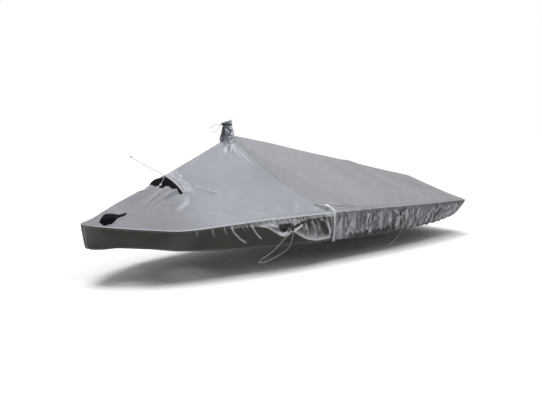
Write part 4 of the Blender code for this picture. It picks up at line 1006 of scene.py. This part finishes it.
def cord_material(name, colour, shade):
    """Braided cord: crossed diagonal strands and a little dirt."""
    made, tree, shader = start_material(name, colour, 0.65, 0.3)
    position = object_position(tree)
    x, y, z = axes(tree, position)
    strands = maths(tree, "MULTIPLY", thread(tree, maths(tree, "ADD", x, z), STRAND_PITCH),
                    thread(tree, maths(tree, "SUBTRACT", y, z), STRAND_PITCH))
    dirt = ramp(tree, noise(tree, position, 60.0, 5.0), 0.3, 0.8)
    base = tint(tree, tint(tree, colour, dirt, 0.45, shade), strands, 0.35, shade)
    dress(tree, shader, base, maths(tree, "MULTIPLY", strands, STRAND_DEPTH), 0.8)
    return made


# ---------------------------------------------------------------- top panels
def spread(*stops):
    """Even steps between stops: (value, number of steps to the next)."""
    values = [stops[0][0]]
    for (start, count), (end, _) in zip(stops, stops[1:]):
        values += list(np.linspace(start, end, count + 1)[1:])
    return np.array(values)


BOW_START, BOW_END = BOW_OPENING[0][0], BOW_OPENING[-1][0]
FORE_COLUMNS = spread((0.0, 14), (BOW_START * EDGE_PER_RIDGE, 28),
                      (BOW_END * EDGE_PER_RIDGE, 48), (VENT_LIP_STATION * EDGE_PER_RIDGE, 24),
                      (VENT_BACK_STATION * EDGE_PER_RIDGE, 56), (FAN_START, 80),
                      (SHROUD_STATION, 0))
FORE_ROWS = spread((0.0, 18), (BOW_UPPER_SHARE, 15), (VENT_SIDE, 24), (BOW_LOWER_SHARE, 20),
                   (0.90, 14), (1.0, 0))
AFT_ROWS = spread((0.0, 30), (0.35, 24), (0.90, 14), (1.0, 0))
AFT_COLUMNS = spread((SHROUD_STATION, 66), (FAN_END, 150), (COVER_LENGTH, 0))


def rounded(points, station, share):
    """Soften the fold that a fore panel makes where it passes from the ridge to the collar."""
    points = points.copy()
    weight = hump(station - FAN_START, 0.14) * ease(share, 0.0, 0.03)
    weight = 0.5 * (weight * (1 - ease(share, 0.80, 0.95)))[1:-1, :, None]
    for _ in range(SMOOTHING_PASSES):
        points[1:-1] += weight * (0.5 * (points[:-2] + points[2:]) - points[1:-1])
    return points


def off_collar(points, fan):
    """Start the columns that fan out from the collar just clear of its foot."""
    points[fan, 0] += unit(points[fan, 1] - points[fan, 0]) * COLLAR_GAP


def column_at(ridge):
    """Column of the fore panel's grid that starts at this station of the ridge."""
    return int(np.argmin(np.abs(FORE_COLUMNS - ridge * EDGE_PER_RIDGE)))


def fore_grid(side):
    station, share = grid(FORE_COLUMNS, FORE_ROWS)
    ridge = station / EDGE_PER_RIDGE
    if side < 0:
        share = np.where(station <= FAN_START, bow_share(ridge, share), share)
    points = fore_points(side, station, share)
    rows = list(FORE_ROWS)
    lower, upper = rows.index(BOW_LOWER_SHARE), rows.index(BOW_UPPER_SHARE)
    holes = np.zeros((len(FORE_COLUMNS) - 1, len(FORE_ROWS) - 1), bool)
    holes[column_at(VENT_LIP_STATION):column_at(VENT_BACK_STATION), :rows.index(VENT_SIDE)] = True
    if side < 0:
        holes[column_at(BOW_START):column_at(BOW_END), upper:lower] = True
        below = np.clip(share - share[:, lower:lower + 1], 0, None)
        beside = hump(below, 0.05) * (np.arange(len(rows)) >= lower)
        along = ease(ridge, BOW_START, 0.16) * (1 - ease(ridge, 0.36, 0.43))
        points[..., 2] += BOW_LIP_RISE * beside * along
    surface = partial(fore_points, side)
    calm = 1 - hump(ridge - VENT_RIM_STATION, 0.09) * (share < VENT_SIDE)
    calm = calm * (1 - ease(share, 0.80, 0.86) * ease(station, 2.56, 2.60))
    tail = ((ridge - 0.84) / 0.05) ** 2 + ((share - 0.06) / 0.07) ** 2
    calm = calm * (1 - hump(tail, 1.0))
    field = relief(points, folds(side, FORE_CREASES, FORE_CRUMPLES), surface) * calm
    marks = relief(points, FORE_MARKS, surface)
    points = rounded(points, station, share)
    broad = undulation(points, seed=21, size=0.55, height=0.0022)
    points = raised(points, side, field + broad * calm)
    points = drawn_in(points, (0, PANEL_GAP, 0, EDGE_GAP))
    off_collar(points, station[:, 0] > FAN_START)
    # colour field: folds, marks of colour only and the painted highlight along the deck edge
    return points, side, holes, field + marks + edge_highlight(points), ("last", "bottom")


def make_fore_top(finish):
    made = cloth("fore_top_cloth", [fore_grid(side) for _, side in SIDES], finish,
                 ["top_fore"])


def aft_grid(side):
    station, share = grid(AFT_COLUMNS, AFT_ROWS)
    points = aft_points(side, station, share)
    calm = 1 - ease(share, 0.80, 0.86) * (1 - ease(station, 2.67, 2.71))
    field = calm * relief(points, folds(side, AFT_CREASES, AFT_CRUMPLES),
                          partial(aft_points, side))
    broad = undulation(points, seed=41, size=0.70, height=0.0030)
    points = raised(points, side, field + broad * calm)
    points = drawn_in(points, (PANEL_GAP, 0, 0, EDGE_GAP))
    off_collar(points, station[:, 0] <= FAN_END)
    # colour field: folds and the painted highlight along the deck edge
    return points, side, None, field + edge_highlight(points), ("first", "bottom")


def end_grid(side, corner_column):
    """The folded triangular end, sewn on at the aft panel's last column."""
    across, share = grid(np.linspace(1, 0, 42), AFT_ROWS)
    points = end_points(side, across, share)
    field = undulation(points, seed=47, size=0.35, height=0.0020)
    field *= ease(across, 1.0, 0.85) * ease(across, 0.0, 0.12)
    lift = field * ease(share, 1.0, 0.93) * ease(share, 0.02, 0.2)
    points = drawn_in(points + normals(points, side) * lift[..., None], (0, 0, 0, EDGE_GAP))
    points[0] = corner_column
    return points, side, None, field, ("bottom",)


def make_aft_top(finish):
    grids = []
    for _, side in SIDES:
        panel = aft_grid(side)
        grids += [panel, end_grid(side, panel[0][-1])]
    made = cloth("aft_top_cloth", grids, finish, ["top_aft"])


# ---------------------------------------------------------------- skirts
def skirt_surface(side):
    def surface(station, drop):
        return skirt_points(side, station, drop / smooth(station, SECTIONS, 3))
    return surface


def bare_lens(station, drop):
    """The flat lens of cloth between the swag and the strap, where the fold colour is left out so
    the skirt's painted shade shows.
    """
    lean = 0.45 * (drop - 0.15)
    return hump(station - 2.484 - lean, 0.054, 4) * hump(drop - 0.155, 0.092, 4)


def in_swag(station, drop):
    fold = smooth(station, SWAG, 1)
    return ease(swag(station, drop), 0.004, 0.012) * (1 - ease(drop, fold + 0.002, fold + 0.010))


def skirt_light(station, drop):
    """Colour field of the fore skirt, all painted light: a paler upper band with painted
    highlights on its gathers, a swag painted palest at its fold, painted highlights beside the
    strap, and painted shadow in the bay by the first tie-down.
    """
    depth = 0.036 + 0.034 * ease(station, 1.30, 1.80) * (1 - ease(station, 2.05, 2.30))
    band = ease(station, 1.15, 1.40) * (1 - ease(drop / depth, 0.85, 1.25))
    streaks = np.sin(150.0 * (station - 0.55 * drop)) * np.sin(61.0 * station + 1.0)
    fold = smooth(station, SWAG, 1)
    hung = in_swag(station, drop) * (0.0026 + 0.0110 * np.clip(drop / fold, 0, 1) ** 5)
    lean = 0.45 * (drop - 0.15)
    narrowing = np.clip((0.152 - drop) / 0.085, 0.05, 1.0)
    # painted shadow in the pocket beside the first tie-down
    bay = (hump(station - 1.935 + 0.30 * (drop - 0.10), 0.062 * narrowing, 4)
           * hump(drop - 0.104, 0.042, 6))
    brow = hump(station - 2.566 - lean, 0.010) * hump(drop - 0.150, 0.090, 4)
    cheek = ease(station - lean, 2.565, 2.585) * (1 - ease(drop, 0.20, 0.27))
    hollow = np.maximum(bay, bare_lens(station, drop))
    return (0.0066 + 0.0022 * streaks) * band + np.maximum(hung, 0.006 * cheek) * (
        1 - hollow) - 0.019 * bay + 0.009 * brow


def make_fore_skirts(finish):
    columns = spread((0.0, 40), (0.35, 60), (1.20, 170), (SHROUD_STATION, 0))
    station, share = grid(columns, spread((0.0, 18), (0.22, 34), (1.0, 0)))
    drop = share * smooth(station, SECTIONS, 3)
    for word, side in SIDES:
        points = skirt_points(side, station, share)
        surface = skirt_surface(side)
        field = relief(points, folds(side, FORE_SKIRT_CREASES, FORE_SKIRT_CRUMPLES), surface)
        field += relief(points, folds(side, (), SWAG_CRUMPLES), surface) * in_swag(station, drop)
        field += undulation(points, seed=61, size=0.40, height=0.0015)
        field *= quiet(station, drop)
        points = raised(points, side, field)
        lit = (1 - bare_lens(station, drop)) * (field + relief(points, FORE_SKIRT_MARKS, surface))
        lit = lit + skirt_light(station, drop)
        points = drawn_in(points, (BOW_GAP, SEAM_GAP, EDGE_GAP, 0))
        points[:, 0, 2] -= 0.0042 * (1 - ease(columns, 0.06, 0.14))
        made = cloth("fore_skirt_cloth_" + word, [(points, side, None, lit, ("top", "bottom"))],
                     finish, ["skirt_fore_" + word])


def tucked_hem(station, share):
    """1 along the jagged hem, where the cloth is drawn in under the hull; painted shade goes
    there.
    """
    jagged = 0.89 - 0.08 * np.abs(np.sin(23.0 * station)) - 0.05 * np.sin(61.0 * station)
    jagged = jagged - 0.07 * ease(station, 3.20, 3.60) + 0.20 * ease(station, 3.74, 3.84)
    return ease(share, jagged - 0.02, jagged + 0.02) * ease(station, 2.85, 3.0)


def make_aft_skirts(finish):
    columns = spread((SHROUD_STATION, 520), (COVER_LENGTH, 0))
    station, share = grid(columns, spread((0.0, 16), (0.25, 34), (1.0, 0)))
    drop = share * smooth(station, SECTIONS, 3)
    wave = gathers(station, share) * (1 - hump(station - SHROUD_STATION, 0.06))
    # painted light of the aft skirt: fold and gather crests as painted highlight and hollows as
    # painted shade, stronger towards the stern, paler near the strap, painted shade along the
    # tucked hem
    vivid = 0.75 + 0.85 * ease(station, 4.3, 5.1)
    paler = 0.0030 * (1 - ease(station, 2.8, 3.2))
    for word, side in SIDES:
        points = skirt_points(side, station, share)
        field = quiet(station, drop) * relief(
            points, folds(side, AFT_SKIRT_CREASES, AFT_SKIRT_CRUMPLES), skirt_surface(side))
        points = drawn_in(raised(points, side, field), (SEAM_GAP, CORNER_GAP, EDGE_GAP, 0))
        lit = vivid * (field + 0.5 * (wave - 0.007)) + paler - 0.030 * tucked_hem(station, share)
        made = cloth("aft_skirt_cloth_" + word, [(points, side, None, lit, ("top", "bottom"))],
                     finish, ["skirt_aft_" + word])


def make_transom_skirt(finish):
    across, share = grid(np.linspace(-1, 1, 161), spread((0.0, 12), (0.25, 24), (1.0, 0)))
    points = transom_points(across, share)

    def surface(s, v):
        """Routes across are in steps about as long as the skirt is deep."""
        return transom_points(s / 3, v)

    field = relief(points, folds(0, (), TRANSOM_CRUMPLES), surface)
    points = drawn_in(raised(points, -1, field), (CORNER_GAP, CORNER_GAP, TRANSOM_GAP, 0))
    made = cloth("transom_skirt_cloth", [(points, -1, None, field, ("top", "bottom"))], finish,
                 ["skirt_transom"])


# ---------------------------------------------------------------- collar and vent
# (share of the way up, radius, depth of its pleats); 0 to 1 foot to band, 2 to 3 band to frill
COLLAR_ROWS = ((0.00, COLLAR_BASE_RADIUS, 0.000), (0.14, 0.081, 0.006), (0.34, 0.074, 0.008),
               (0.56, 0.066, 0.008), (0.76, 0.059, 0.006), (0.91, 0.0550, 0.003),
               (1.00, NECK_RADIUS, 0.0), (2.00, NECK_RADIUS, 0.0), (2.40, 0.0565, 0.003),
               (3.00, 0.0620, 0.007))


def around(turn, reach, height):
    """Points round the mast; turn runs from the bow side towards port."""
    return vectors(-reach * np.cos(turn), -reach * np.sin(turn), height)


def collar_points(turn, share):
    side = np.where(np.sin(turn) >= 0, -1, 1)
    folded = np.where(turn <= np.pi, turn, 2 * np.pi - turn)
    foot = collar_foot(side, folded)[..., 2]
    band = NECK_HEIGHT - PEAK_HEIGHT
    top = FRILL_HEIGHT - PEAK_HEIGHT + 0.018 * np.cos(turn - math.radians(140))
    low = foot + (band - NECK_HALF - foot) * share
    middle = band - NECK_HALF + 2 * NECK_HALF * (share - 1.0)
    high = band + NECK_HALF + (top - band - NECK_HALF) * (share - 2.0)
    height = np.where(share <= 1.0, low, np.where(share <= 2.0, middle, high))
    pleats = smooth(share, COLLAR_ROWS, 2) * np.sin(7 * turn + 2.2 * share)
    return around(turn, smooth(share, COLLAR_ROWS, 1) + pleats, height)


def make_collar(finish):
    turn, share = grid(np.linspace(0, 2 * np.pi, 193), spread((0.0, 46), (1.0, 6), (2.0, 12),
                                                              (3.0, 0)))
    points = collar_points(turn, share)
    field = relief(points, folds(0, COLLAR_CREASES, COLLAR_CRUMPLES), collar_points)
    field *= ease(share, 0.0, 0.08) * (1 - ease(share, 0.88, 1.0) * (1 - ease(share, 2.0, 2.2)))
    ragged = 0.003 * np.sin(9 * turn + 1.0) + 0.002 * np.sin(17 * turn)
    points = points + normals(points, 1) * (0.45 * field)[..., None]
    points[..., 2] += ragged * ease(share, 2.4, 3.0)
    points[-1] = points[0]
    round_bow = np.where(turn > np.pi, turn - 2 * np.pi, turn)
    # painted shade on the bow and starboard side of the collar, painted light on its port side,
    # and a painted highlight low near its foot
    side_light = 0.0042 * ease(round_bow, 1.0, 1.9) - 0.0090 * (1 - ease(round_bow, 0.0, 0.7))
    side_light = side_light + 0.003 * ease(round_bow, 0.3, 0.9) * (1 - ease(share, 0.04, 0.16))
    made = cloth("mast_collar_cloth", [(points, 1, None, 2.5 * field + side_light, ("top", "bottom"))],
                 finish, ["mast_collar"])


def hood_points(side, depth, share):
    """depth runs from 0 at the hood's rim to 1 at its back seam."""
    rim = VENT_RIM_STATION - VENT_ENDS[side][1] * share / VENT_SIDE
    station = rim + (VENT_BACK_STATION - rim) * depth
    points = top_points(side, fore_ridge(station), edge(side, station * EDGE_PER_RIDGE), share,
                        HOOD_SAG, 0.0)
    front = 1 - ease(station, VENT_RIM_STATION, VENT_BACK_STATION)
    proud = HOOD_PROUD * front * np.sin(np.pi * np.minimum(share / VENT_SIDE, 1.0))
    return points + vectors(0.0, side * proud * 0.6, proud + vent_lift(side, station, share))


def make_hood(finish):
    grids = []
    depth, share = grid(np.linspace(0.0, 1.0, 44), np.linspace(0, VENT_SIDE, 90))
    lap = np.maximum(ease(depth, 0.9, 1.0), ease(share, 0.92 * VENT_SIDE, VENT_SIDE))
    for _, side in SIDES:
        points = hood_points(side, depth, share)
        field = relief(points, folds(side, HOOD_CREASES, HOOD_CRUMPLES),
                       partial(hood_points, side))
        points = drawn_in(raised(points, side, field), (0, -HOOD_LAP, 0, -HOOD_LAP))
        points[..., 2] += 0.0026 * lap
        grids.append((points, side, None, field, ("first", "last", "bottom")))
    made = cloth("vent_hood_cloth", grids, finish, ["vent_hood"])


# ---------------------------------------------------------------- webbing
def fine_route(points, count):
    """Evenly spaced points of a smooth curve through the route's own points."""
    points = np.array(points, float)
    padded = np.concatenate([[2 * points[0] - points[1]], points,
                             [2 * points[-1] - points[-2]]])
    t = np.linspace(0, 1, 16, endpoint=False)[:, None]
    fine = []
    for p0, p1, p2, p3 in zip(padded, padded[1:], padded[2:], padded[3:]):
        fine.append(0.5 * (2 * p1 + (p2 - p0) * t + (2 * p0 - 5 * p1 + 4 * p2 - p3) * t ** 2
                           + (3 * p1 - p0 - 3 * p2 + p3) * t ** 3))
    fine = np.concatenate(fine + [points[-1:]])
    reach = run_length(fine)
    marks = np.linspace(0, reach[-1], count)
    return np.stack([np.interp(marks, reach, fine[:, k]) for k in range(3)], axis=1)


def mirrored(points, side):
    """Route points are written for the port side as (station, distance out, height)."""
    return np.array([place(s, side * a, z) for s, a, z in points])


def facing_out(down, side):
    """Level unit vectors that stand off the side of the cover."""
    normal = unit(np.cross(down, ALONG_COVER))
    return normal * np.where(normal[..., 1:2] * side > 0, 1, -1)


def make_straps(finish):
    depth, across = grid(np.linspace(0, 1, 150), np.linspace(-1, 1, 23))
    width = (1 - 0.06 * ease(depth, 0.25, 0.9) + 0.04 * np.sin(17 * depth)) * STRAP_WIDTH
    wrinkles = (0.0022 * hump(across - 0.35 - 0.3 * np.sin(4 * depth), 0.22)
                + 0.0016 * hump(across + 0.55 - 0.2 * np.sin(7 * depth), 0.20)
                + 0.0007 * np.sin(38 * depth + 3 * across)) * ease(depth, 0.0, 0.06)
    # painted shade in the groove, on the hanging part and on its far side; darker at the foot
    groove = hump(across - 0.10 - 0.25 * np.sin(5 * depth), 0.17)
    shade = -0.0036 * groove * ease(depth, 0.08, 0.20) - 0.0015 * ease(depth, 0.26, 0.45)
    shade = shade - 0.0018 * ease(across, 0.10, 0.35) * ease(depth, 0.30, 0.45)
    shade = shade - 0.0040 * ease(depth, 0.94, 0.97)
    for word, side in SIDES:
        middle = fine_route(mirrored(STRAP_ROUTE, side), len(depth))
        normal = facing_out(unit(np.gradient(middle, axis=0)), side)
        points = (middle[:, None] + ALONG_COVER * (across * width / 2)[..., None]
                  + normal[:, None] * wrinkles[..., None])
        made = cloth("shroud_strap_cloth_" + word,
                     [(points, side, None, shade, ("top", "bottom"))], finish,
                     ["shroud_strap_" + word], STRAP_THICK)


def make_tabs(finish):
    depth, across = grid(np.linspace(0, 1, 34), np.linspace(-1, 1, 17))
    bars = hump(depth - 0.10, 0.03) + hump(depth - 0.93, 0.03)
    bow = 0.0008 * bars - 0.0008 * np.abs(across) ** 4
    for word, side in SIDES:
        for number, (ends, skirt) in enumerate(zip(TABS, ("fore", "aft")), 1):
            top, foot = mirrored(ends, side)
            down = foot - top
            points = (top + down * depth[..., None]
                      + ALONG_COVER * (across * TAB_WIDTH / 2)[..., None]
                      + facing_out(down, side) * bow[..., None])
            made = cloth("tie_tab_webbing_%s_%d" % (word, number),
                         [(points, side, None, bow, ("top", "bottom"))], finish,
                         ["tie_tab_%s_%d" % (word, number)], TAB_THICK)


# ---------------------------------------------------------------- cords and knots
def tube(name, points, radius, material, nodes, sides=12, closed=True):
    """Tube swept along a line of points, for windings and knots."""
    ahead = np.roll(points, -1, axis=0) - np.roll(points, 1, axis=0)
    if not closed:
        ahead[0], ahead[-1] = points[1] - points[0], points[-1] - points[-2]
    ahead = unit(ahead)
    up = [unit(np.cross(ahead[0], np.array([0.31, 0.52, 0.79])))]
    for direction in ahead:
        up.append(unit(up[-1] - direction * (up[-1] @ direction)))
    up = np.array(up[1:])
    beside = np.cross(ahead, up)
    turn = np.linspace(0, 2 * np.pi, sides, endpoint=False)[:, None]
    spokes = np.cos(turn) * up[:, None] + np.sin(turn) * beside[:, None]
    rings = points[:, None] + radius * spokes
    index = np.arange(len(points) * sides).reshape(-1, sides)
    below = np.roll(index, -1, axis=0) if closed else index[1:]
    above = index if closed else index[:-1]
    quads = np.stack([above, np.roll(above, -1, axis=1), np.roll(below, -1, axis=1), below],
                     axis=-1).reshape(-1, 4).tolist()
    if not closed:
        quads += [index[0][::-1].tolist(), index[-1].tolist()]
    mesh = bpy.data.meshes.new(name)
    mesh.from_pydata(rings.reshape(-1, 3).tolist(), [], quads)
    bm = bmesh.new()
    bm.from_mesh(mesh)
    bmesh.ops.recalc_face_normals(bm, faces=bm.faces)
    bm.to_mesh(mesh)
    bm.free()
    mesh.shade_smooth()
    return add_piece(bpy.data.objects.new(name, mesh), [material], nodes)


def make_knot(name, centre, radius, thick, tilt, material, nodes):
    """An overhand knot pulled tight, as a trefoil of cord."""
    t = np.linspace(0, 2 * np.pi, 90, endpoint=False)
    x = (np.sin(t) + 2 * np.sin(2 * t)) / 3
    y = (np.cos(t) - 2 * np.cos(2 * t)) / 3
    z = -np.sin(3 * t) * 0.55
    c, s = math.cos(tilt), math.sin(tilt)
    points = np.stack([x * c - z * s, y, x * s + z * c], axis=1) * (radius - thick) + centre
    return tube(name, points, thick, material, nodes, sides=10)


def make_end_knot(name, centre, material, nodes):
    """The small knot at a taut line's far end."""
    return make_knot(name, centre, END_RADIUS, END_CORD, 0.9, material, nodes)


def make_cord(name, points, diameter, material, nodes):
    """A free cord, as a curve with its real length."""
    count = int(np.clip(run_length(points)[-1] / (2.2 * diameter), 15, 40))
    route = fine_route(points, count)
    curve = bpy.data.curves.new(name, "CURVE")
    curve.dimensions = "3D"
    spline = curve.splines.new("POLY")
    spline.points.add(len(route) - 1)
    for target, point in zip(spline.points, route):
        target.co = (*point, 1.0)
    curve.bevel_depth = diameter / 2
    curve.bevel_resolution = 3
    curve.use_fill_caps = True
    made = add_piece(bpy.data.objects.new(name, curve), [material], nodes)


def leaving(centre, radius, points, end=None):
    """Start a route at a knot's surface, and end it at a second knot's where there is one."""
    route = [centre + unit(points[0] - centre) * (radius + SEAM_GAP), *points]
    if end is not None:
        route.append(end + unit(points[-1] - end) * (END_RADIUS + SEAM_GAP))
    return np.array(route)


def make_tie_cords(finish, knot_finish):
    for word, side in SIDES:
        knots = [make_knot("tie_knot_cord_%s_%d" % (word, number), centre, KNOT_RADIUS, KNOT_CORD,
                           0.4 * side, knot_finish, ["tie_knot_%s_%d" % (word, number)])
                 for number, centre in enumerate(mirrored(TIE_KNOTS, side), 1)]
        for number, tie_end, routes in ((1, FIRST_TIE_END, FIRST_TIE_ROUTES),
                                        (2, SECOND_TIE_END, SECOND_TIE_ROUTES)):
            centre, end = mirrored((TIE_KNOTS[number - 1], tie_end), side)
            pieces = [knots[number - 1], make_end_knot("tie_end_cord_%s_%d" % (word, number), end,
                                                       finish, ["tie_end_%s_%d" % (word, number)])]
            for letter, (taut, route) in zip("ab", routes):
                name = "%s_%d%s" % (word, number, letter)
                make_cord("tie_line_" + name,
                          leaving(centre, KNOT_RADIUS, mirrored(route, side),
                                  end if taut else None),
                          CORD_DIAMETER, finish, ["tie_cord_" + name])


def make_collar_tie(dark, pale):
    """Three turns of cord round the neck, their knot and its two free ends."""
    turn = np.linspace(0, 6 * np.pi, 3 * 96)
    height = NECK_HEIGHT - PEAK_HEIGHT + np.linspace(-WINDING_HALF, WINDING_HALF, len(turn))
    wobble = 0.0006 * np.sin(5 * turn) * np.sin(0.5 * turn)
    points = around(turn, NECK_RADIUS + SEAM_GAP + WINDING_RADIUS, height + wobble)
    # the turns and the knot take the dark cord as painted shade; the free ends keep the pale cord
    tube("collar_tie_winding", points, WINDING_RADIUS, dark, ["collar_tie_turns"], closed=False)
    centre = place(*COLLAR_KNOT)
    knot = make_knot("collar_tie_bow", centre, COLLAR_KNOT_RADIUS, COLLAR_KNOT_CORD, 0.6, dark,
                     ["collar_tie_knot"])
    for letter, route, pieces in zip("ab", COLLAR_END_ROUTES, ([knot], [])):
        make_cord("collar_tie_tail_" + letter,
                  leaving(centre, COLLAR_KNOT_RADIUS, mirrored(route, 1)), LINE_DIAMETER, pale,
                  ["collar_tie_end_" + letter])


def make_vent_cords(finish, line_finish):
    centre = place(*VENT_TOGGLE)
    toggle = make_knot("vent_toggle_cord", centre, VENT_TOGGLE_RADIUS, VENT_TOGGLE_CORD, 0.3,
                       finish, ["vent_toggle"])
    hang = fore_ridge(np.array(VENT_RIM_STATION)) + np.array([0.006, 0.0, -CLOTH - 0.0010])
    route = [centre + (hang - centre) * share for share in (0.4, 0.7, 1.0)]
    make_cord("vent_cord_line", leaving(centre, VENT_KNOT_RADIUS, route), LINE_DIAMETER, finish,
              ["vent_cord"])
    make_cord("vent_cord_tail", leaving(centre, VENT_KNOT_RADIUS, mirrored(VENT_TAIL, 1)),
              LINE_DIAMETER, finish, ["vent_cord_end"])
    tie = place(*LIFT_LINE_END)
    piece = make_end_knot("vent_lift_end", tie, line_finish, ["vent_lift_knot"])
    start = fore_ridge(np.array(VENT_RIM_STATION + 0.005)) + np.array([0.0, 0.0, 0.0021])
    route = [start + (tie - start) * share - np.array([0, 0, 0.006 * math.sin(math.pi * share)])
             for share in (0.0, 0.25, 0.5, 0.75)]
    route.append(tie - unit(tie - route[-1]) * (END_RADIUS + SEAM_GAP))
    make_cord("vent_lift_cord", np.array(route), LINE_DIAMETER, line_finish, ["vent_lift_line"])


# ---------------------------------------------------------------- run
def add_object(name, data, location, rotation=(0.0, 0.0, 0.0)):
    made = bpy.data.objects.new(name, data)
    made.location = location
    made.rotation_euler = rotation
    bpy.context.scene.collection.objects.link(made)
    return made


def make_camera():
    data = bpy.data.cameras.new("camera")
    data.lens = CAMERA_LENS
    data.sensor_width = 36.0
    bpy.context.scene.camera = add_object("camera", data, CAMERA_PLACE, (
        math.pi / 2 - CAMERA_PITCH, 0.0, -CAMERA_HEADING))


def add_light(name, kind, place_at, aim, **settings):
    data = bpy.data.lights.new(name, kind)
    for key, value in settings.items():
        setattr(data, key, value)
    run = unit(np.array(aim, float) - place_at)
    add_object(name, data, place_at, (
        math.acos(-run[2]), 0.0, math.atan2(run[1], run[0]) - math.pi / 2))


def make_world():
    """A white room whose far side, behind the cover, is its bright backdrop."""
    world = bpy.data.worlds.new("studio")
    world.use_nodes = True
    tree = world.node_tree
    inputs = {0: node(tree, "ShaderNodeTexCoord").outputs["Generated"],
              1: (math.sin(CAMERA_HEADING), math.cos(CAMERA_HEADING), 0.0)}
    toward = node(tree, "ShaderNodeVectorMath", inputs, operation="DOT_PRODUCT")
    share = ramp(tree, toward.outputs["Value"], 0.20, 0.75)
    feed(tree, tree.nodes["Background"].inputs["Color"], mix(tree, share, ROOM_DIM, ROOM_BRIGHT))
    bpy.context.scene.world = world


def make_studio():
    mesh = bpy.data.meshes.new("floor")
    bm = bmesh.new()
    bmesh.ops.create_grid(bm, x_segments=2, y_segments=2, size=FLOOR_HALF_SIZE)
    bm.to_mesh(mesh)
    bm.free()
    made, tree, shader = start_material("floor_paint", (0.90, 0.90, 0.90), 0.9, 0.2)
    grain = noise(tree, object_position(tree), 3.0)
    feed(tree, shader.inputs["Base Color"],
         mix(tree, grain, (0.89, 0.89, 0.89), (0.91, 0.91, 0.91)))
    mesh.materials.append(made)
    add_object("floor", mesh, (0, 0, FLOOR_HEIGHT))
    make_world()
    add_light("key", "AREA", KEY_PLACE, (0.2, -0.3, -0.5), energy=KEY_POWER, shape="DISK",
              size=2.6)
    add_light("fill", "SUN", (-1.5, 2.0, 10.0), (0, 0, 0), energy=SUN_STRENGTH,
              angle=math.radians(30))


def main():
    bpy.context.scene.view_settings.view_transform = "Standard"
    # the inner side of every sheet is near black as painted shade
    inside = cloth_material("inner_painted_shade", (0.020, 0.022, 0.030), (0.012, 0.013, 0.018),
                            (0.030, 0.032, 0.040), 0.7, 0.010, specular=0.2)
    # the aft top finish is a shaded copy of the fore one; the fore finish gets painted shade
    # towards the bow and the aft finish gets painted shade towards the stern
    top = cloth_material("fore_top_finish", (0.265, 0.273, 0.300), (0.240, 0.247, 0.270),
                         (0.50, 0.52, 0.57), 0.50, 0.016, pits=0.25, specular=0.35,
                         shade_along=(-0.55, -1.15, 0.30))
    top_aft = cloth_material("aft_top_finish", (0.250, 0.256, 0.270), (0.228, 0.233, 0.245),
                             (0.40, 0.41, 0.43), 0.52, 0.014, pits=0.25, specular=0.35,
                             shade_along=(0.3, 3.5, 0.24))
    # the skirts are the top's cloth in painted shade, darkest on the fore skirt; their pale crest
    # colour is a painted highlight on folds that face the light
    skirt = cloth_material("skirt_cloth_finish", (0.040, 0.039, 0.034), (0.032, 0.031, 0.027),
                           (0.52, 0.535, 0.56), 0.6, 0.017, pits=0.6, specular=0.12)
    skirt_aft = cloth_material("aft_skirt_finish", (0.132, 0.135, 0.145), (0.085, 0.087, 0.093),
                               (0.36, 0.37, 0.395), 0.50, 0.009, pits=0.90, specular=0.2,
                               ruffle=0.034)
    skirt_end = cloth_material("transom_skirt_finish", (0.118, 0.121, 0.130),
                               (0.085, 0.087, 0.093), (0.24, 0.248, 0.264), 0.50, 0.012,
                               pits=0.70, specular=0.2)
    collar = cloth_material("collar_cloth_finish", (0.18, 0.19, 0.225), (0.11, 0.12, 0.15),
                            (0.55, 0.57, 0.62), 0.42, 0.007, pits=0.90)
    hood = cloth_material("hood_cloth_finish", (0.30, 0.31, 0.335), (0.25, 0.26, 0.28),
                          (0.50, 0.51, 0.545), 0.45, 0.004, pits=0.45)
    strap = webbing_material("strap_finish", (0.80, 0.825, 0.87), (0.12, 0.125, 0.14))
    tab = webbing_material("tab_finish", (0.012, 0.012, 0.014), (0.005, 0.005, 0.006))
    pale = cord_material("cord_finish", (0.42, 0.40, 0.34), (0.20, 0.19, 0.16))
    white = cord_material("white_cord_finish", (0.86, 0.88, 0.92), (0.50, 0.51, 0.54))
    grey = cord_material("grey_cord_finish", (0.060, 0.060, 0.065), (0.035, 0.035, 0.038))
    dark = cord_material("dark_cord_finish", (0.045, 0.045, 0.05), (0.020, 0.020, 0.022))
    make_camera()
    make_tie_cords(pale, dark)
    make_collar_tie(dark, pale)
    make_vent_cords(white, grey)
    make_studio()
    make_fore_top((top, inside))
    make_aft_top((top_aft, inside))
    make_fore_skirts((skirt, inside))
    make_aft_skirts((skirt_aft, inside))
    make_transom_skirt((skirt_end, inside))
    make_collar((collar, inside))
    make_hood((hood, inside))
    make_straps((strap, strap))
    make_tabs((tab, tab))


main()
